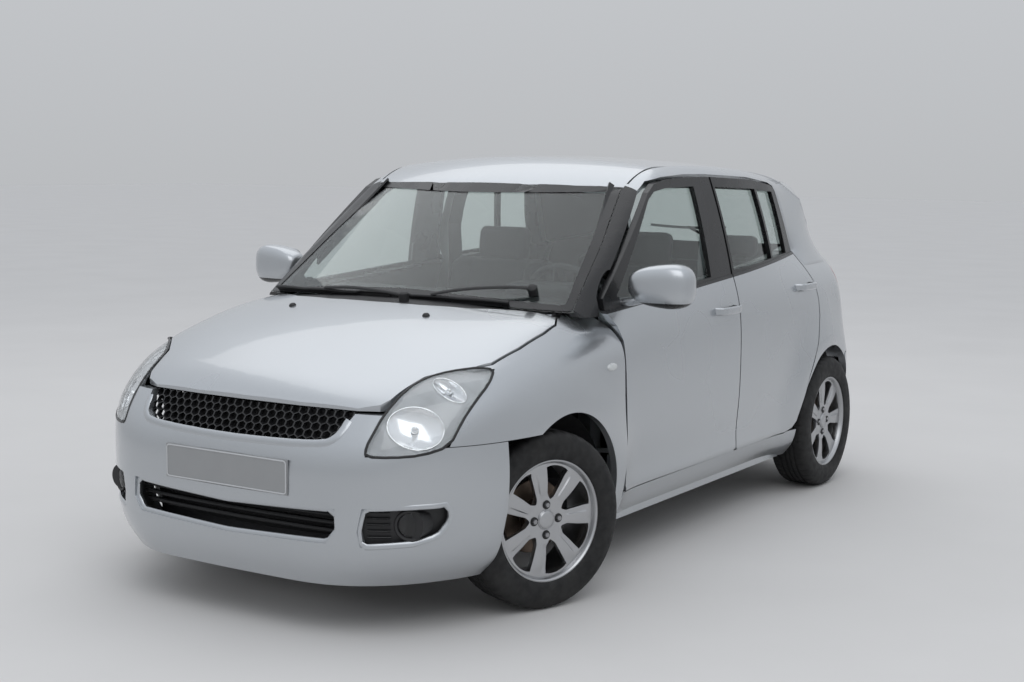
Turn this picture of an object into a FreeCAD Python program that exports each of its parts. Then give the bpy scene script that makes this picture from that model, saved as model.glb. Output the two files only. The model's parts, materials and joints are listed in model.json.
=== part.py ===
# Five-door hatchback car, built as separate panels, glass, lamps, seats, running gear and wheels.
# Millimetres. X is across the car (its left is +X), the nose points to -Y, Z is up.
# The origin is on the floor under the middle of the overall length.
import FreeCAD, Part
import Sketcher
import math
import os
import re

from FreeCAD import Vector

doc = FreeCAD.newDocument("hatchback")

# Driving dimensions: name and value, in millimetres, degrees or plain ratios.
SIZES = [
    ("length", 3695.0),
    ("half_width", 843.0),
    ("door_half_width", 815.0),
    ("height", 1510.0),
    ("wheelbase", 2380.0),
    ("front_overhang", 765.0),
    ("floor_height", 185.0),
    ("belt_height", 1012.0),
    ("belt_rise", 0.069),
    ("belt_half_width", 752.0),
    ("nose_height", 700.0),
    ("hood_rise", 300.0),
    ("front_track", 1470.0),
    ("rear_track", 1480.0),
    ("tyre_radius", 301.0),
    ("tyre_width", 185.0),
    ("rim_radius", 207.0),
    ("kingpin_spread", 1224.0),
    ("steer_at_rest", 20.3),
    ("arch_radius", 352.0),
    ("front_arch_shift", 20.0),
    ("rear_arch_shift", 28.0),
    ("axle_to_door", 442.5),
    ("front_door_length", 980.0),
    ("door_depth", 90.0),
    ("door_skin", 25.0),
    ("door_step", 22.0),
    ("frame_depth", 24.0),
    ("side_depth", 92.0),
    ("panel_depth", 25.0),
    ("bumper_depth", 35.0),
    ("panel_gap", 7.0),
    ("glass_thickness", 5.0),
    ("roof_edge", 588.0),
    ("grille_half_width", 438.0),
    ("plate_width", 520.0),
    ("plate_height", 112.0),
    ("seat_width", 500.0),
    ("seat_offset", 350.0),
    ("seat_height", 520.0),
    ("steering_wheel_radius", 185.0),
]

sheet = doc.addObject("Spreadsheet::Sheet", "Sizes")
for row, (alias, value) in enumerate(SIZES, 1):
    sheet.set(f"A{row}", alias)
    sheet.set(f"B{row}", str(value))
    sheet.setAlias(f"B{row}", alias)
doc.recompute()
S = {alias: float(sheet.get(alias)) for alias, value in SIZES}
NAMES = re.compile(r"\b(" + "|".join(alias for alias, value in SIZES) + r")\b")

NOSE = -S["length"] / 2
TAIL = S["length"] / 2
FRONT_AXLE = NOSE + S["front_overhang"]
REAR_AXLE = FRONT_AXLE + S["wheelbase"]
FRONT_ARCH = FRONT_AXLE + S["front_arch_shift"]
REAR_ARCH = REAR_AXLE + S["rear_arch_shift"]
WHEEL_Z = S["tyre_radius"]
DOOR_Y = FRONT_AXLE + S["axle_to_door"]
PILLAR_Y = DOOR_Y + S["front_door_length"]
GAP = S["panel_gap"]
SCREEN_FOOT = NOSE + 887.5
ROOF_Y = 250.0


def bind(item, key, rule):
    """Bind one property to a rule written with the names of the sheet."""
    item.setExpression(key, NAMES.sub(r"Sizes.\1", str(rule)))


def solid(kind, name, sizes, place=(0, 0, 0), turn=None):
    """A Part primitive with its sizes and place bound to the sheet."""
    item = doc.addObject("Part::" + kind, name)
    if turn:
        item.Placement.Rotation = FreeCAD.Rotation(Vector(*turn[0]), turn[1])
    for key, rule in sizes.items():
        bind(item, key, rule)
    for axis, rule in zip("xyz", place):
        bind(item, "Placement.Base." + axis, rule)
    return item


# The body's outer form: each function gives one face of it, and the fields blend them.

def hinge(distance, radius):
    """Zero below, rising above, with a soft bend of that radius between."""
    return (distance + math.hypot(distance, radius)) / 2


def blend(first, second, radius):
    """The larger of two distances, with a rounded edge where both are near zero."""
    if first > -radius and second > -radius:
        return math.hypot(first + radius, second + radius) - radius
    return max(first, second)


def belt_z(y):
    return S["belt_height"] + S["belt_rise"] * y


def arch_swell(y, z):
    """How far the body swells out round the wheel arches."""
    swell = 0.0
    for centre in (FRONT_ARCH, REAR_ARCH):
        away = max(math.hypot(y - centre, z - WHEEL_Z) - S["arch_radius"] - 15, 0)
        swell = max(swell, math.exp(-(away / 115.0) ** 2))
    return (S["half_width"] - S["door_half_width"]) * swell


def glass_x(y, z):
    bow = 0.45e-4 * max(-200 - y, 0) ** 2 + 1.1e-4 * max(y - 300, 0) ** 2
    above = z - belt_z(y)
    return S["belt_half_width"] - bow - 0.14 * above - 1.9e-4 * above * abs(above)


def side_x(y, z):
    front = max(DOOR_Y - 360 - y, 0)
    rear = max(y - REAR_AXLE + 200, 0)
    width = S["door_half_width"] - 0.9e-4 * front ** 2 - 1.3e-4 * rear ** 2
    shoulder = belt_z(y) - 112 - 0.014 * y
    lean = (width - glass_x(y, belt_z(y)) - 8) / hinge(belt_z(y) - shoulder, 110)
    width += arch_swell(y, z) - lean * hinge(z - shoulder, 110)
    width -= 0.16 * hinge(480 - z, 160)
    rib = math.exp(-((z - 345 - 0.03 * y) / 38.0) ** 2)
    rib *= min(max((y - DOOR_Y + 60) / 100, 0), 1) * min(max((REAR_AXLE - 425 - y) / 100, 0), 1)
    return width + 9 * rib - 0.9 * hinge(235 - z, 40)


def hood_z(x, y):
    run = min(max(1 - (y - NOSE - 47.5) / 900.0, 0), 2)
    return S["nose_height"] + S["hood_rise"] * (1 - run ** 1.75) - 1.05e-4 * x * x


def nose_lean(z):
    return 0.28 * hinge(z - 585, 90) + 0.35 * hinge(235 - z, 60)


def tail_lean(z):
    return 0.12 * hinge(z - 560, 60) + 0.42 * hinge(z - 1040, 60) + 0.45 * hinge(300 - z, 80)


NOSE_EASE = min(nose_lean(z) for z in range(200, 700, 5))
TAIL_EASE = min(tail_lean(z) for z in range(200, 700, 5))


def nose_y(x, z):
    return NOSE + 1.05e-4 * x * x + nose_lean(z) - NOSE_EASE


def tail_y(x, z):
    return TAIL - 1.1e-4 * x * x - tail_lean(z) + TAIL_EASE


def screen_y(x, z):
    return SCREEN_FOOT + (z - 985) / 0.70 + 3.0e-4 * x * x


def roof_z(x, y):
    return S["height"] - 5.5e-5 * (y - ROOF_Y) ** 2 - 1.1e-4 * x * x


def side_field(x, y, z):
    """Signed distance, roughly, to the sides and tail, with no top or nose."""
    return blend(abs(x) - side_x(y, z), y - tail_y(x, z), 180)


def lower_field(x, y, z):
    """Signed distance, roughly, to the body below the belt."""
    value = blend(abs(x) - side_x(y, z), nose_y(x, z) - y, 330)
    value = blend(value, y - tail_y(x, z), 180)
    return blend(value, z - hood_z(x, min(y, SCREEN_FOOT + 160)), 130)


def upper_field(x, y, z):
    """Signed distance, roughly, to the cabin above the belt."""
    value = blend(abs(x) - glass_x(y, z), (screen_y(x, z) - y) * 0.57, 60)
    value = blend(value, y - tail_y(x, z), 110)
    return blend(value, z - roof_z(x, y), 70)


def strike(field, start, ray, reach):
    """Walk from start along a ray and return the point where it enters the body."""
    travel = 0.0
    before = 0.0
    while travel < reach:
        value = field(start.x + ray.x * travel, start.y + ray.y * travel, start.z + ray.z * travel)
        if value < 0:
            break
        before = travel
        travel += max(0.45 * value, 2.0)
    else:
        raise ValueError(f"ray from {start} along {ray} misses the body")
    for halving in range(22):
        middle = (before + travel) / 2
        point = start + ray * middle
        if field(point.x, point.y, point.z) < 0:
            travel = middle
        else:
            before = middle
    return start + ray * travel


def shell_between(outer, inner):
    """A closed solid between two grids of points with the same rows and columns."""
    skins = []
    for grid in (outer, inner):
        surface = Part.BSplineSurface()
        surface.interpolate(grid)
        skins.append(surface)
    faces = [surface.toShape() for surface in skins]
    first, last = 0, 1
    bounds = [surface.bounds() for surface in skins]
    for iso, places in (("uIso", (0, 1)), ("vIso", (2, 3))):
        for place in places:
            rails = [getattr(surface, iso)(bound[place]).toShape() for surface, bound in zip(skins, bounds)]
            faces.append(Part.makeRuledSurface(rails[first], rails[last]))
    shell = Part.makeShell(faces)
    shell.sewShape()
    body = Part.makeSolid(shell)
    if body.Volume < 0:
        body.reverse()
    return body


def wall(field, rows, depth, sink=0):
    """A panel of the given depth: rows hold the rays, each an inner point and an outward aim.

    With a sink the panel lies that far inside the body's face.
    """
    outer = []
    inner = []
    for row in rows:
        points = []
        backs = []
        for centre, aim in row:
            aim = Vector(aim).normalize()
            point = strike(field, centre + aim * 2400, aim * -1, 2400) - aim * sink
            points.append(point)
            backs.append(point - aim * depth)
        outer.append(points)
        inner.append(backs)
    return shell_between(outer, inner)


def plan_fan(field, centre, targets, levels, depth, sink=0):
    """A wall whose rays spread in plan from a centre, one row for each level."""
    rows = []
    for level in levels:
        heart = Vector(centre[0], centre[1], level)
        rows.append([(heart, Vector(x - centre[0], y - centre[1], 0)) for x, y in targets])
    return wall(field, rows, depth, sink)


def prism(points, aim, reach):
    """A straight bar through a closed outline of 3-D points, both ways along the aim."""
    aim = Vector(*aim).normalize()
    flat = [Vector(*point) - aim * Vector(*point).dot(aim) for point in points]
    face = Part.Face(Part.makePolygon(flat + flat[:1]))
    face.translate(aim * reach[0])
    return face.extrude(aim * (reach[1] - reach[0]))


def side_bar(outline, x0, x1):
    """A bar along X through a (y, z) outline."""
    return prism([(0, y, z) for y, z in outline], (1, 0, 0), (x0, x1))


def upright_bar(outline, z0, z1):
    """A bar along Z through an (x, y) outline."""
    return prism([(x, y, 0) for x, y in outline], (0, 0, 1), (z0, z1))


def long_bar(outline, y0, y1):
    """A bar along Y through an (x, z) outline."""
    return prism([(x, 0, z) for x, z in outline], (0, 1, 0), (y0, y1))


def grown(outline, step):
    """The outline moved outwards by a step, with its corners kept sharp."""
    area = sum(a[0] * b[1] - b[0] * a[1] for a, b in zip(outline, outline[1:] + outline[:1]))
    sign = 1 if area > 0 else -1
    moved = []
    count = len(outline)
    for i in range(count):
        before, here, after = outline[i - 1], outline[i], outline[(i + 1) % count]
        one = Vector(here[0] - before[0], here[1] - before[1], 0).normalize()
        two = Vector(after[0] - here[0], after[1] - here[1], 0).normalize()
        push_one = Vector(one.y, -one.x, 0) * sign
        push_two = Vector(two.y, -two.x, 0) * sign
        push = (push_one + push_two) * (step / (1 + push_one.dot(push_two)))
        moved.append((here[0] + push.x, here[1] + push.y))
    return moved


def block(x0, x1, y0, y1, z0, z1):
    """A box between two corners."""
    return Part.makeBox(x1 - x0, y1 - y0, z1 - z0, Vector(x0, y0, z0))


def pair(shape):
    """The shape and its mirror image on the other side of the car."""
    return [shape, mirrored(shape)]


def mirrored(shape):
    return shape.mirror(Vector(0, 0, 0), Vector(1, 0, 0))


def both(x0, x1, y0, y1, z0, z1):
    """The same box on the left and on the right."""
    return pair(block(x0, x1, y0, y1, z0, z1))


def joined(shapes):
    return shapes[0].multiFuse(shapes[1:]).removeSplitter()


def keep(name, shape):
    """Add a finished shape to the document as one sub-part."""
    item = doc.addObject("Part::Feature", name)
    item.Shape = shape
    return item


def belt_cut(side):
    """All space above (+1) or below (-1) the sloping belt plane."""
    far = 3000
    low, high = belt_z(-far), belt_z(far)
    return side_bar([(-far, low), (far, high), (far, high + side * far), (-far, low + side * far)], -far, far)


ABOVE_BELT = belt_cut(1)
BELOW_BELT = belt_cut(-1)

# Outlines on the left side. Columns: y from the front door's leading edge, then height.
FRONT_DOOR = [
    (18, 305), (0, 330), (0, 850), (-20, 905), (-72, 966), (-72, 1010), (378, 1379),
    (440, 1412), (540, 1428), (740, 1438), (922, 1438), (980, 1035), (980, 322), (962, 305),
]
REAR_DOOR = [
    (998, 305), (980, 322), (980, 1035), (922, 1438), (1340, 1425), (1600, 1400), (1650, 1385), (1800, 1060),
    (1855, 960), (1868, 870), (1855, 800), (1790, 680), (1690, 543), (1596, 345), (1560, 318),
    (1500, 305),
]
FRONT_WINDOW = [(62, 988), (30, 1010), (372, 1346), (430, 1376), (520, 1388), (765, 1394), (787, 1034)]
REAR_WINDOW = [(951, 1390), (1004, 1052), (1691, 1090), (1602, 1363), (1320, 1380)]


def from_door(outline):
    return [(DOOR_Y + y, z) for y, z in outline]


def front_arch_bar(radius, x0, x1):
    return Part.makeCylinder(radius, x1 - x0, Vector(x0, FRONT_ARCH, WHEEL_Z), Vector(1, 0, 0))


def steer_sweep():
    """The ball, about the left king pin, that the steered front tyre stays inside, with clearance."""
    side = (S["front_track"] - S["kingpin_spread"] + S["tyre_width"]) / 2
    reach = math.hypot(side, S["tyre_radius"]) + GAP
    return Part.makeSphere(reach, Vector(S["kingpin_spread"] / 2, FRONT_AXLE, WHEEL_Z))


def rear_arch_bar(radius, x0, x1):
    return Part.makeCylinder(radius, x1 - x0, Vector(x0, REAR_ARCH, WHEEL_Z), Vector(1, 0, 0))


# Outline of the headlamp seen along its own aim, listed as points on the body.
LAMP_AIM = (0.62, -0.66, 0.42)
HEADLAMP = [
    (519, -1785, 583), (516, -1775, 615), (523, -1747, 653), (527, -1704, 702), (541, -1605, 773),
    (565, -1532, 805), (618, -1470, 825), (675, -1414, 833), (716, -1362, 829), (736, -1420, 791),
    (737, -1504, 741), (732, -1567, 687), (721, -1619, 614), (664, -1691, 589), (593, -1748, 582),
]
TAIL_LAMP_AIM = (0.75, 0.66, 0)
TAIL_LAMP = [
    (760, 1640, 985), (775, 1690, 870), (742, 1760, 775), (600, 1815, 770), (582, 1815, 1000),
    (640, 1740, 1040),
]
LAMP_SHIFT = NOSE + 1847.5
TAIL_SHIFT = TAIL - 1847.5
HEADLAMP_BAR = prism([(x, y + LAMP_SHIFT, z) for x, y, z in HEADLAMP], LAMP_AIM, (900, 2600))
TAIL_LAMP_BAR = prism([(x, y + TAIL_SHIFT, z) for x, y, z in TAIL_LAMP], TAIL_LAMP_AIM, (900, 2600))

# Half outline of the bonnet in plan: x, then y from the nose.
BONNET_HALF = [
    (0, 103), (220, 108), (438, 128), (505, 160), (527, 190), (541, 242), (565, 315), (618, 377),
    (672, 436), (697, 500), (705, 650), (700, 813), (687, 910), (648, 983), (586, 950), (393, 832),
    (200, 784), (0, 771),
]
BONNET = [(x, NOSE + y) for x, y in BONNET_HALF] + [(-x, NOSE + y) for x, y in BONNET_HALF[-2:0:-1]]


BONNET_HINGE = (620, SCREEN_FOOT + 90, 952)
GATE_HINGE = (150, TAIL - 301.5, 1414)


def cross_hinge(place, toward):
    """A hinge pin across the car: cuts for the moving and the fixed piece, cheeks with pin, and tongue."""
    x, y, z = place
    notch = block(x - 24, x + 24, y - 13, y + 13, z - 45, z + 45)
    space = block(x - 11, x + 11, min(y - 13, y + toward * 24), max(y + 13, y + toward * 24), z - 30, z + 45)
    cheeks = [block(x + side - 3, x + side + 3, y - 8, y + 8, z - 24, z + 7) for side in (-14, 14)]
    pin = Part.makeCylinder(PIN, 34, Vector(x - 17, y, z), Vector(1, 0, 0))
    near, far = sorted((y, y + toward * 20))
    tongue = block(x - 9, x + 9, near, far, z - 16, z - 2)
    tongue = tongue.fuse(Part.makeCylinder(EYE, 18, Vector(x - 9, y, z), Vector(1, 0, 0)))
    tongue = tongue.cut(Part.makeCylinder(BORE, 40, Vector(x - 20, y, z), Vector(1, 0, 0)))
    return notch, space, joined(cheeks + [pin]), tongue


def hang(moving, place, toward):
    """The moving piece with its two tongues for a pair of cross hinges."""
    notch, space, cheeks, tongue = cross_hinge(place, toward)
    for cut, add in zip(pair(notch), pair(tongue)):
        moving = moving.cut(cut).fuse(add)
    return moving


def carry(fixed, place, toward):
    """The fixed piece with the cheeks and pins of a pair of cross hinges."""
    notch, space, cheeks, tongue = cross_hinge(place, toward)
    for cut, add in zip(pair(space), pair(cheeks)):
        fixed = fixed.cut(cut).fuse(add)
    return fixed


def make_bonnet():
    rows = []
    for share in (-1, -0.9, -0.74, -0.5, -0.25, 0, 0.25, 0.5, 0.74, 0.9, 1):
        heart = Vector(share * 730, NOSE + 850, 300)
        rows.append([(heart, Vector(0, run, 1)) for run in BONNET_RUNS])
    panel = wall(lower_field, rows, S["panel_depth"])
    panel = panel.common(upright_bar(grown(BONNET, -GAP), S["nose_height"] + 9, 2000))
    return hang(panel, BONNET_HINGE, -1)


# Slopes of the bonnet's rays, from the nose to the windscreen.
BONNET_RUNS = (-2.3, -2.05, -1.85, -1.65, -1.42, -1.15, -0.85, -0.55, -0.25, 0, 0.2, 0.38)

# Rows of the fender's rays. Columns: y from the nose, sideways lean of the rays to the front.
FENDER_ROWS = [
    (150, -1.1), (210, -0.8), (270, -0.6), (340, -0.4), (430, -0.2), (540, -0.1), (650, 0), (770, 0),
    (900, 0), (1020, 0), (1140, 0), (1260, 0),
]
FENDER_ANGLES = (-34, -26, -18, -10, 0, 10, 19, 27, 34, 41, 48, 56, 66)


def make_fender():
    """The left front fender, down to the bumper line ahead of the arch and to the sill behind it."""
    rows = []
    for station, lean in FENDER_ROWS:
        heart = Vector(250, NOSE + station, 450)
        turns = [math.radians(angle) for angle in FENDER_ANGLES]
        rows.append([(heart, Vector(math.cos(turn), lean, math.sin(turn))) for turn in turns])
    panel = wall(lower_field, rows, S["panel_depth"])
    zone = [
        (NOSE + 150, 612), (FRONT_ARCH - 172, 606), (FRONT_ARCH, 560), (FRONT_ARCH + 200, 200),
        (DOOR_Y - GAP, 200), (DOOR_Y - GAP, 850), (DOOR_Y - 27, 909), (DOOR_Y - 80, 968), (DOOR_Y - 80, 1200),
        (NOSE + 150, 1200),
    ]
    panel = panel.common(side_bar(zone, 300, 1000))
    panel = panel.cut(front_arch_bar(S["arch_radius"], 300, 1000)).cut(steer_sweep())
    panel = panel.cut(upright_bar(BONNET, 0, 2000))
    rear = upright_bar([(0, DOOR_Y - 2000), (660, DOOR_Y - 233), (560, DOOR_Y), (0, DOOR_Y)], 0, 2000)
    return largest(panel.cut(rear).cut(HEADLAMP_BAR))


def largest(shape):
    return max(shape.Solids, key=lambda one: one.Volume)


NOSE_TARGETS = [
    (-800, 440), (-805, 330), (-780, 210), (-700, 110), (-560, 45), (-380, 12), (-190, 3), (0, 0),
    (190, 3), (380, 12), (560, 45), (700, 110), (780, 210), (805, 330), (800, 440),
]
NOSE_LEVELS = (166, 190, 225, 270, 330, 400, 470, 540, 600, 640, 680, 712)

# Outlines of the openings in the front bumper, seen from the front: x, then height.
GRILLE = [
    (-438, 698), (-414, 640), (-370, 612), (0, 598), (370, 612), (414, 640), (438, 698), (438, 760),
    (-438, 760),
]
LOWER_GRILLE = [
    (-431, 418), (-436, 350), (-400, 306), (0, 294), (400, 306), (436, 350), (431, 418), (0, 402),
]
FOG_RECESS = [(718, 432), (716, 380), (690, 332), (640, 312), (508, 302), (500, 350), (516, 424), (619, 430)]
FOG_LAMP = (636, 371)


def nose_wall(levels, depth, sink=0):
    targets = [(x, NOSE + y) for x, y in NOSE_TARGETS]
    return plan_fan(lower_field, (0, NOSE + 750), targets, levels, depth, sink)


PLATE_Z = 498


def plate_block(z, y0, y1, clear=0):
    """The space of a number plate, or of its recess with a clearance round it."""
    half, tall = S["plate_width"] / 2 + clear, S["plate_height"] / 2 + clear
    return block(-half, half, y0, y1, z - tall, z + tall)


def make_front_bumper():
    panel = nose_wall(NOSE_LEVELS, S["bumper_depth"])
    top = S["nose_height"] + 2
    zone = [
        (NOSE - 200, top), (NOSE + 215, top), (NOSE + 215, 609), (FRONT_ARCH - 172, 603), (FRONT_ARCH + 90, 557),
        (FRONT_ARCH + 90, 0), (NOSE - 200, 0),
    ]
    panel = panel.common(side_bar(zone, -1500, 1500)).cut(front_arch_bar(S["arch_radius"], -1000, 1000))
    for outline in (GRILLE, LOWER_GRILLE, FOG_RECESS):
        panel = panel.cut(long_bar(outline, NOSE - 200, NOSE + 500))
    panel = panel.cut(mirrored(long_bar(FOG_RECESS, NOSE - 200, NOSE + 500)))
    panel = panel.cut(plate_block(PLATE_Z, NOSE - 50, NOSE + 8, 1))
    for bar in pair(HEADLAMP_BAR):
        panel = panel.cut(bar)
    for sweep in pair(steer_sweep()):
        panel = panel.cut(sweep)
    return largest(panel)


def hexagon(x, z, radius):
    corners = [math.radians(30 + 60 * i) for i in range(6)]
    return long_bar([(x + radius * math.cos(a), z + radius * math.sin(a)) for a in corners], NOSE - 100, NOSE + 400)


def make_upper_grille():
    """A honeycomb mesh set back in its opening, with a plain rim."""
    opening = [(x, min(z, S["nose_height"])) for x, z in GRILLE[:7]]
    mesh = nose_wall((585, 620, 655, 690, 712), 14, 22).common(long_bar(opening, NOSE - 200, NOSE + 500))
    clear = long_bar(grown(opening, -8), NOSE - 200, NOSE + 500)
    pitch = 40.0
    cells = []
    for row in range(4):
        for column in range(-12, 13):
            x = (column + 0.5 * (row % 2)) * pitch
            cells.append(hexagon(x, 606 + row * pitch * 0.866, pitch * 0.5))
    return mesh.cut(Part.makeCompound(cells).common(clear))


def make_lower_grille():
    """Three slats held by posts, set back in the lower opening."""
    opening = long_bar(LOWER_GRILLE, NOSE - 200, NOSE + 500)
    bars = [block(-440, 440, NOSE - 100, NOSE + 400, z, z + 12) for z in (322, 352, 382)]
    bars += [block(x - 5, x + 5, NOSE - 100, NOSE + 400, 280, 430) for x in (-435, -290, -145, 0, 145, 290, 435)]
    return nose_wall((280, 320, 360, 400, 430), 24, 8).common(opening).common(joined(bars))


def make_fog_lamps():
    """Black recess panels with a round lamp in each."""
    recess = nose_wall(NOSE_LEVELS, 8, 26).common(long_bar(FOG_RECESS, NOSE - 200, NOSE + 500))
    face = strike(lower_field, Vector(FOG_LAMP[0], NOSE - 300, FOG_LAMP[1]), Vector(0, 1, 0), 900).y
    lamp = Part.makeCylinder(43, 50, Vector(FOG_LAMP[0], face + 14, FOG_LAMP[1]), Vector(0, 1, 0))
    return Part.makeCompound(pair(largest(recess.fuse(lamp))))


def make_headlamp():
    """The left headlamp: its lens face follows the body between bonnet, fender and bumper."""
    heart = Vector(430, NOSE + 420, 560)
    rows = []
    for rise in (-28, -14, 0, 14, 28, 42, 56, 68):
        row = []
        for turn in (0, 12, 24, 36, 48, 60, 72, 84, 96):
            swing, lift = math.radians(turn), math.radians(rise)
            aim = Vector(math.sin(swing) * math.cos(lift), -math.cos(swing) * math.cos(lift), math.sin(lift))
            row.append((heart, aim))
        rows.append(row)
    lamp = wall(lower_field, rows, 60).common(HEADLAMP_BAR)
    return largest(lamp.cut(upright_bar(BONNET, 0, 2000)))


def bumper_line(y):
    return 600 + 0.14 * (y - REAR_ARCH - 245)


def make_rear_bumper():
    targets = [
        (-822, TAIL - 350), (-815, TAIL - 230), (-790, TAIL - 130), (-720, TAIL - 50), (-600, TAIL - 20),
        (-300, TAIL - 5), (0, TAIL),
    ]
    targets += [(-x, y) for x, y in targets[-2::-1]]
    panel = plan_fan(side_field, (0, TAIL - 650), targets, (200, 240, 300, 380, 460, 540, 600, 660), S["bumper_depth"])
    start = REAR_ARCH + 225
    low, high = bumper_line(start) - 3, bumper_line(TAIL + 100) - 3
    zone = [(start, 0), (start, low), (TAIL + 100, high), (TAIL + 100, 0)]
    return panel.common(side_bar(zone, -1500, 1500)).cut(rear_arch_bar(S["arch_radius"], -1000, 1000))


TAILGATE_TOP = 462
TAILGATE_HALF = [
    (0, 636), (530, 642), (560, 700), (572, 800), (570, 1000), (540, 1060), (500, 1110), (485, 1250),
    (TAILGATE_TOP, 1404), (TAILGATE_TOP, 1500), (0, 1500),
]
TAILGATE = TAILGATE_HALF + [(-x, z) for x, z in TAILGATE_HALF[-2:0:-1]]
GATE_Y = TAIL - 305


def gate_zone(clear=0):
    """The space of the tailgate: its outline from behind, and the roof behind its top edge."""
    front, step = REAR_AXLE + 100 + clear, GATE_Y + clear
    side = [(front, 500), (front, 1375 - clear), (step, 1375 - clear), (step, 1600), (TAIL + 200, 1600), (TAIL + 200, 500)]
    return long_bar(grown(TAILGATE, -clear) if clear else TAILGATE, 1000, TAIL + 200).common(side_bar(side, -900, 900))


REAR_WINDOW_HALF = [(0, 1085), (455, 1092), (440, 1220), (420, 1352), (0, 1362)]
REAR_GLASS = REAR_WINDOW_HALF + [(-x, z) for x, z in REAR_WINDOW_HALF[-2:0:-1]]


def tail_field(x, y, z):
    """Signed distance, roughly, to the tail and the roof, with no sides."""
    return blend(y - tail_y(x, z), z - roof_z(x, y), 70)


def make_tailgate():
    rows = []
    for level in (630, 680, 760, 850, 930, 1000, 1060, 1120, 1190, 1250):
        rows.append([(Vector(x, 0, level), Vector(0, 1, 0)) for x in GATE_PLACES])
    for slope in (3, 7, 12, 17, 22, 27, 32, 38, 44):
        turn = math.radians(slope)
        aim = Vector(0, math.cos(turn), math.sin(turn))
        rows.append([(Vector(x, GATE_Y - 240, 1250), aim) for x in GATE_PLACES])
    panel = wall(tail_field, rows, S["bumper_depth"]).common(gate_zone(GAP))
    panel = panel.cut(long_bar(REAR_GLASS, 1000, 2500)).cut(plate_block(REAR_PLATE_Z, TAIL - 34, TAIL + 50, 1))
    return hang(panel, GATE_HINGE, 1)


REAR_PLATE_Z = 752
GATE_PLACES = (-600, -500, -350, -180, 0, 180, 350, 500, 600)


ROOF_DITCH = 8.0


def make_roof():
    rows = []
    heart_y = DOOR_Y + 1240
    edge = S["roof_edge"]
    slopes = (144, 141, 138, 135, 131, 126, 118, 107, 94, 80, 67, 55, 48, 43, 39, 36, 33)
    aims = [Vector(0, math.cos(math.radians(slope)), math.sin(math.radians(slope))) for slope in slopes]
    for share in (-1.06, -1.0, -0.93, -0.8, -0.6, -0.3, 0, 0.3, 0.6, 0.8, 0.93, 1.0, 1.06):
        rows.append([(Vector(share * edge, heart_y, 700), aim) for aim in aims])
    panel = wall(upper_field, rows, S["panel_depth"])
    side = edge - ROOF_DITCH
    front = [(x, ROOF_FRONT + 90 * (x / 571) ** 2) for x in (-side, -400, -200, 0, 200, 400, side)]
    zone = upright_bar(front + [(side, TAIL + 50), (-side, TAIL + 50)], 1000, 2000)
    panel = panel.common(zone).cut(gate_zone())
    for corner in both(TAILGATE_TOP, 900, 1000, 2500, 0, 1404):
        panel = panel.cut(corner)
    return carry(largest(panel), GATE_HINGE, 1)


ROOF_FRONT = SCREEN_FOOT + (1400 - 985) / 0.70 - 4
SCREEN = [(-692, 962), (-400, 974), (0, 979), (400, 974), (692, 962), (640, 1190), (573, 1398), (0, 1402), (-573, 1398), (-640, 1190)]


def make_windscreen():
    """The glass follows the body's rounded form out to the pillars."""
    rows = []
    for level in (930, 1000, 1080, 1160, 1240, 1310, 1370, 1425):
        row = []
        for x in (-700, -640, -560, -400, -200, 0, 200, 400, 560, 640, 700):
            target = Vector(x, screen_y(x, level), level)
            heart = Vector(0.7 * x, target.y + 171, level - 246)
            row.append((heart, target - heart))
        rows.append(row)
    return wall(upper_field, rows, S["glass_thickness"]).common(long_bar(SCREEN, -2000, 1000))


def make_rocker():
    """The sill below the left doors."""
    low, high = DOOR_Y - GAP, REAR_ARCH - 362
    strip = side_sheet(side_x, low, high, S["floor_height"] + 3, 345, 0, S["side_depth"])
    for outline in (FRONT_DOOR, REAR_DOOR):
        strip = strip.cut(side_bar(grown(from_door(outline), GAP / 2), 500, 1000))
    return strip.cut(block(500, 1000, low, high, 308, 400))


def make_quarter():
    """The left rear quarter below the belt, from the rear door to the tailgate."""
    start = REAR_ARCH - 362
    targets = [(820, start - 60), (820, start + 90)]
    targets += [(820, REAR_AXLE + y) for y in (-170, -60, 60, 190)]
    targets += [(812, TAIL - 240), (780, TAIL - 140), (730, TAIL - 60), (650, TAIL - 18), (520, TAIL - 2)]
    levels = (184, 230, 290, 350, 420, 500, 600, 680, 760, 850, 930, 990, 1040, 1090, 1140)
    panel = plan_fan(side_field, (0, start + 200), targets, levels, S["side_depth"])
    after = REAR_ARCH + 225
    low = side_bar([(start, S["floor_height"] + 3), (start, 1300), (TAIL + 50, 1300), (TAIL + 50, 188)], 0, 1500)
    line = [(after, bumper_line(after)), (TAIL + 100, bumper_line(TAIL + 100))]
    bumper = side_bar([(after, 0)] + line + [(TAIL + 100, 0)], 0, 1500)
    panel = panel.common(low).common(BELOW_BELT)
    for bar in (rear_arch_bar(S["arch_radius"], 300, 1000), bumper, TAIL_LAMP_BAR):
        panel = panel.cut(bar)
    panel = panel.cut(long_bar(TAILGATE, REAR_AXLE + 100, TAIL + 200))
    return largest(panel.cut(side_bar(grown(from_door(REAR_DOOR), GAP / 2), 300, 1000)))


# Rows of rays for the side above the belt. Columns: y from the door's leading edge, lean to the tail.
CABIN_ROWS = [
    (300, -0.3), (380, -0.1), (500, 0), (700, 0), (980, 0), (1250, 0), (1500, 0), (1700, 0), (1860, 0.1),
    (1980, 0.3), (2050, 0.6), (2090, 1.0), (2110, 1.6), (2120, 2.4), (2125, 4.5), (2128, 9.0),
]
CABIN_ANGLES = (-22, -14, -6, 3, 12, 21, 29, 36, 42, 48, 54)


def top_z(x, y):
    """Height of the roof's outer face over a point."""
    return strike(upper_field, Vector(x, y, 2400), Vector(0, 0, -1), 2400).z


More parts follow.
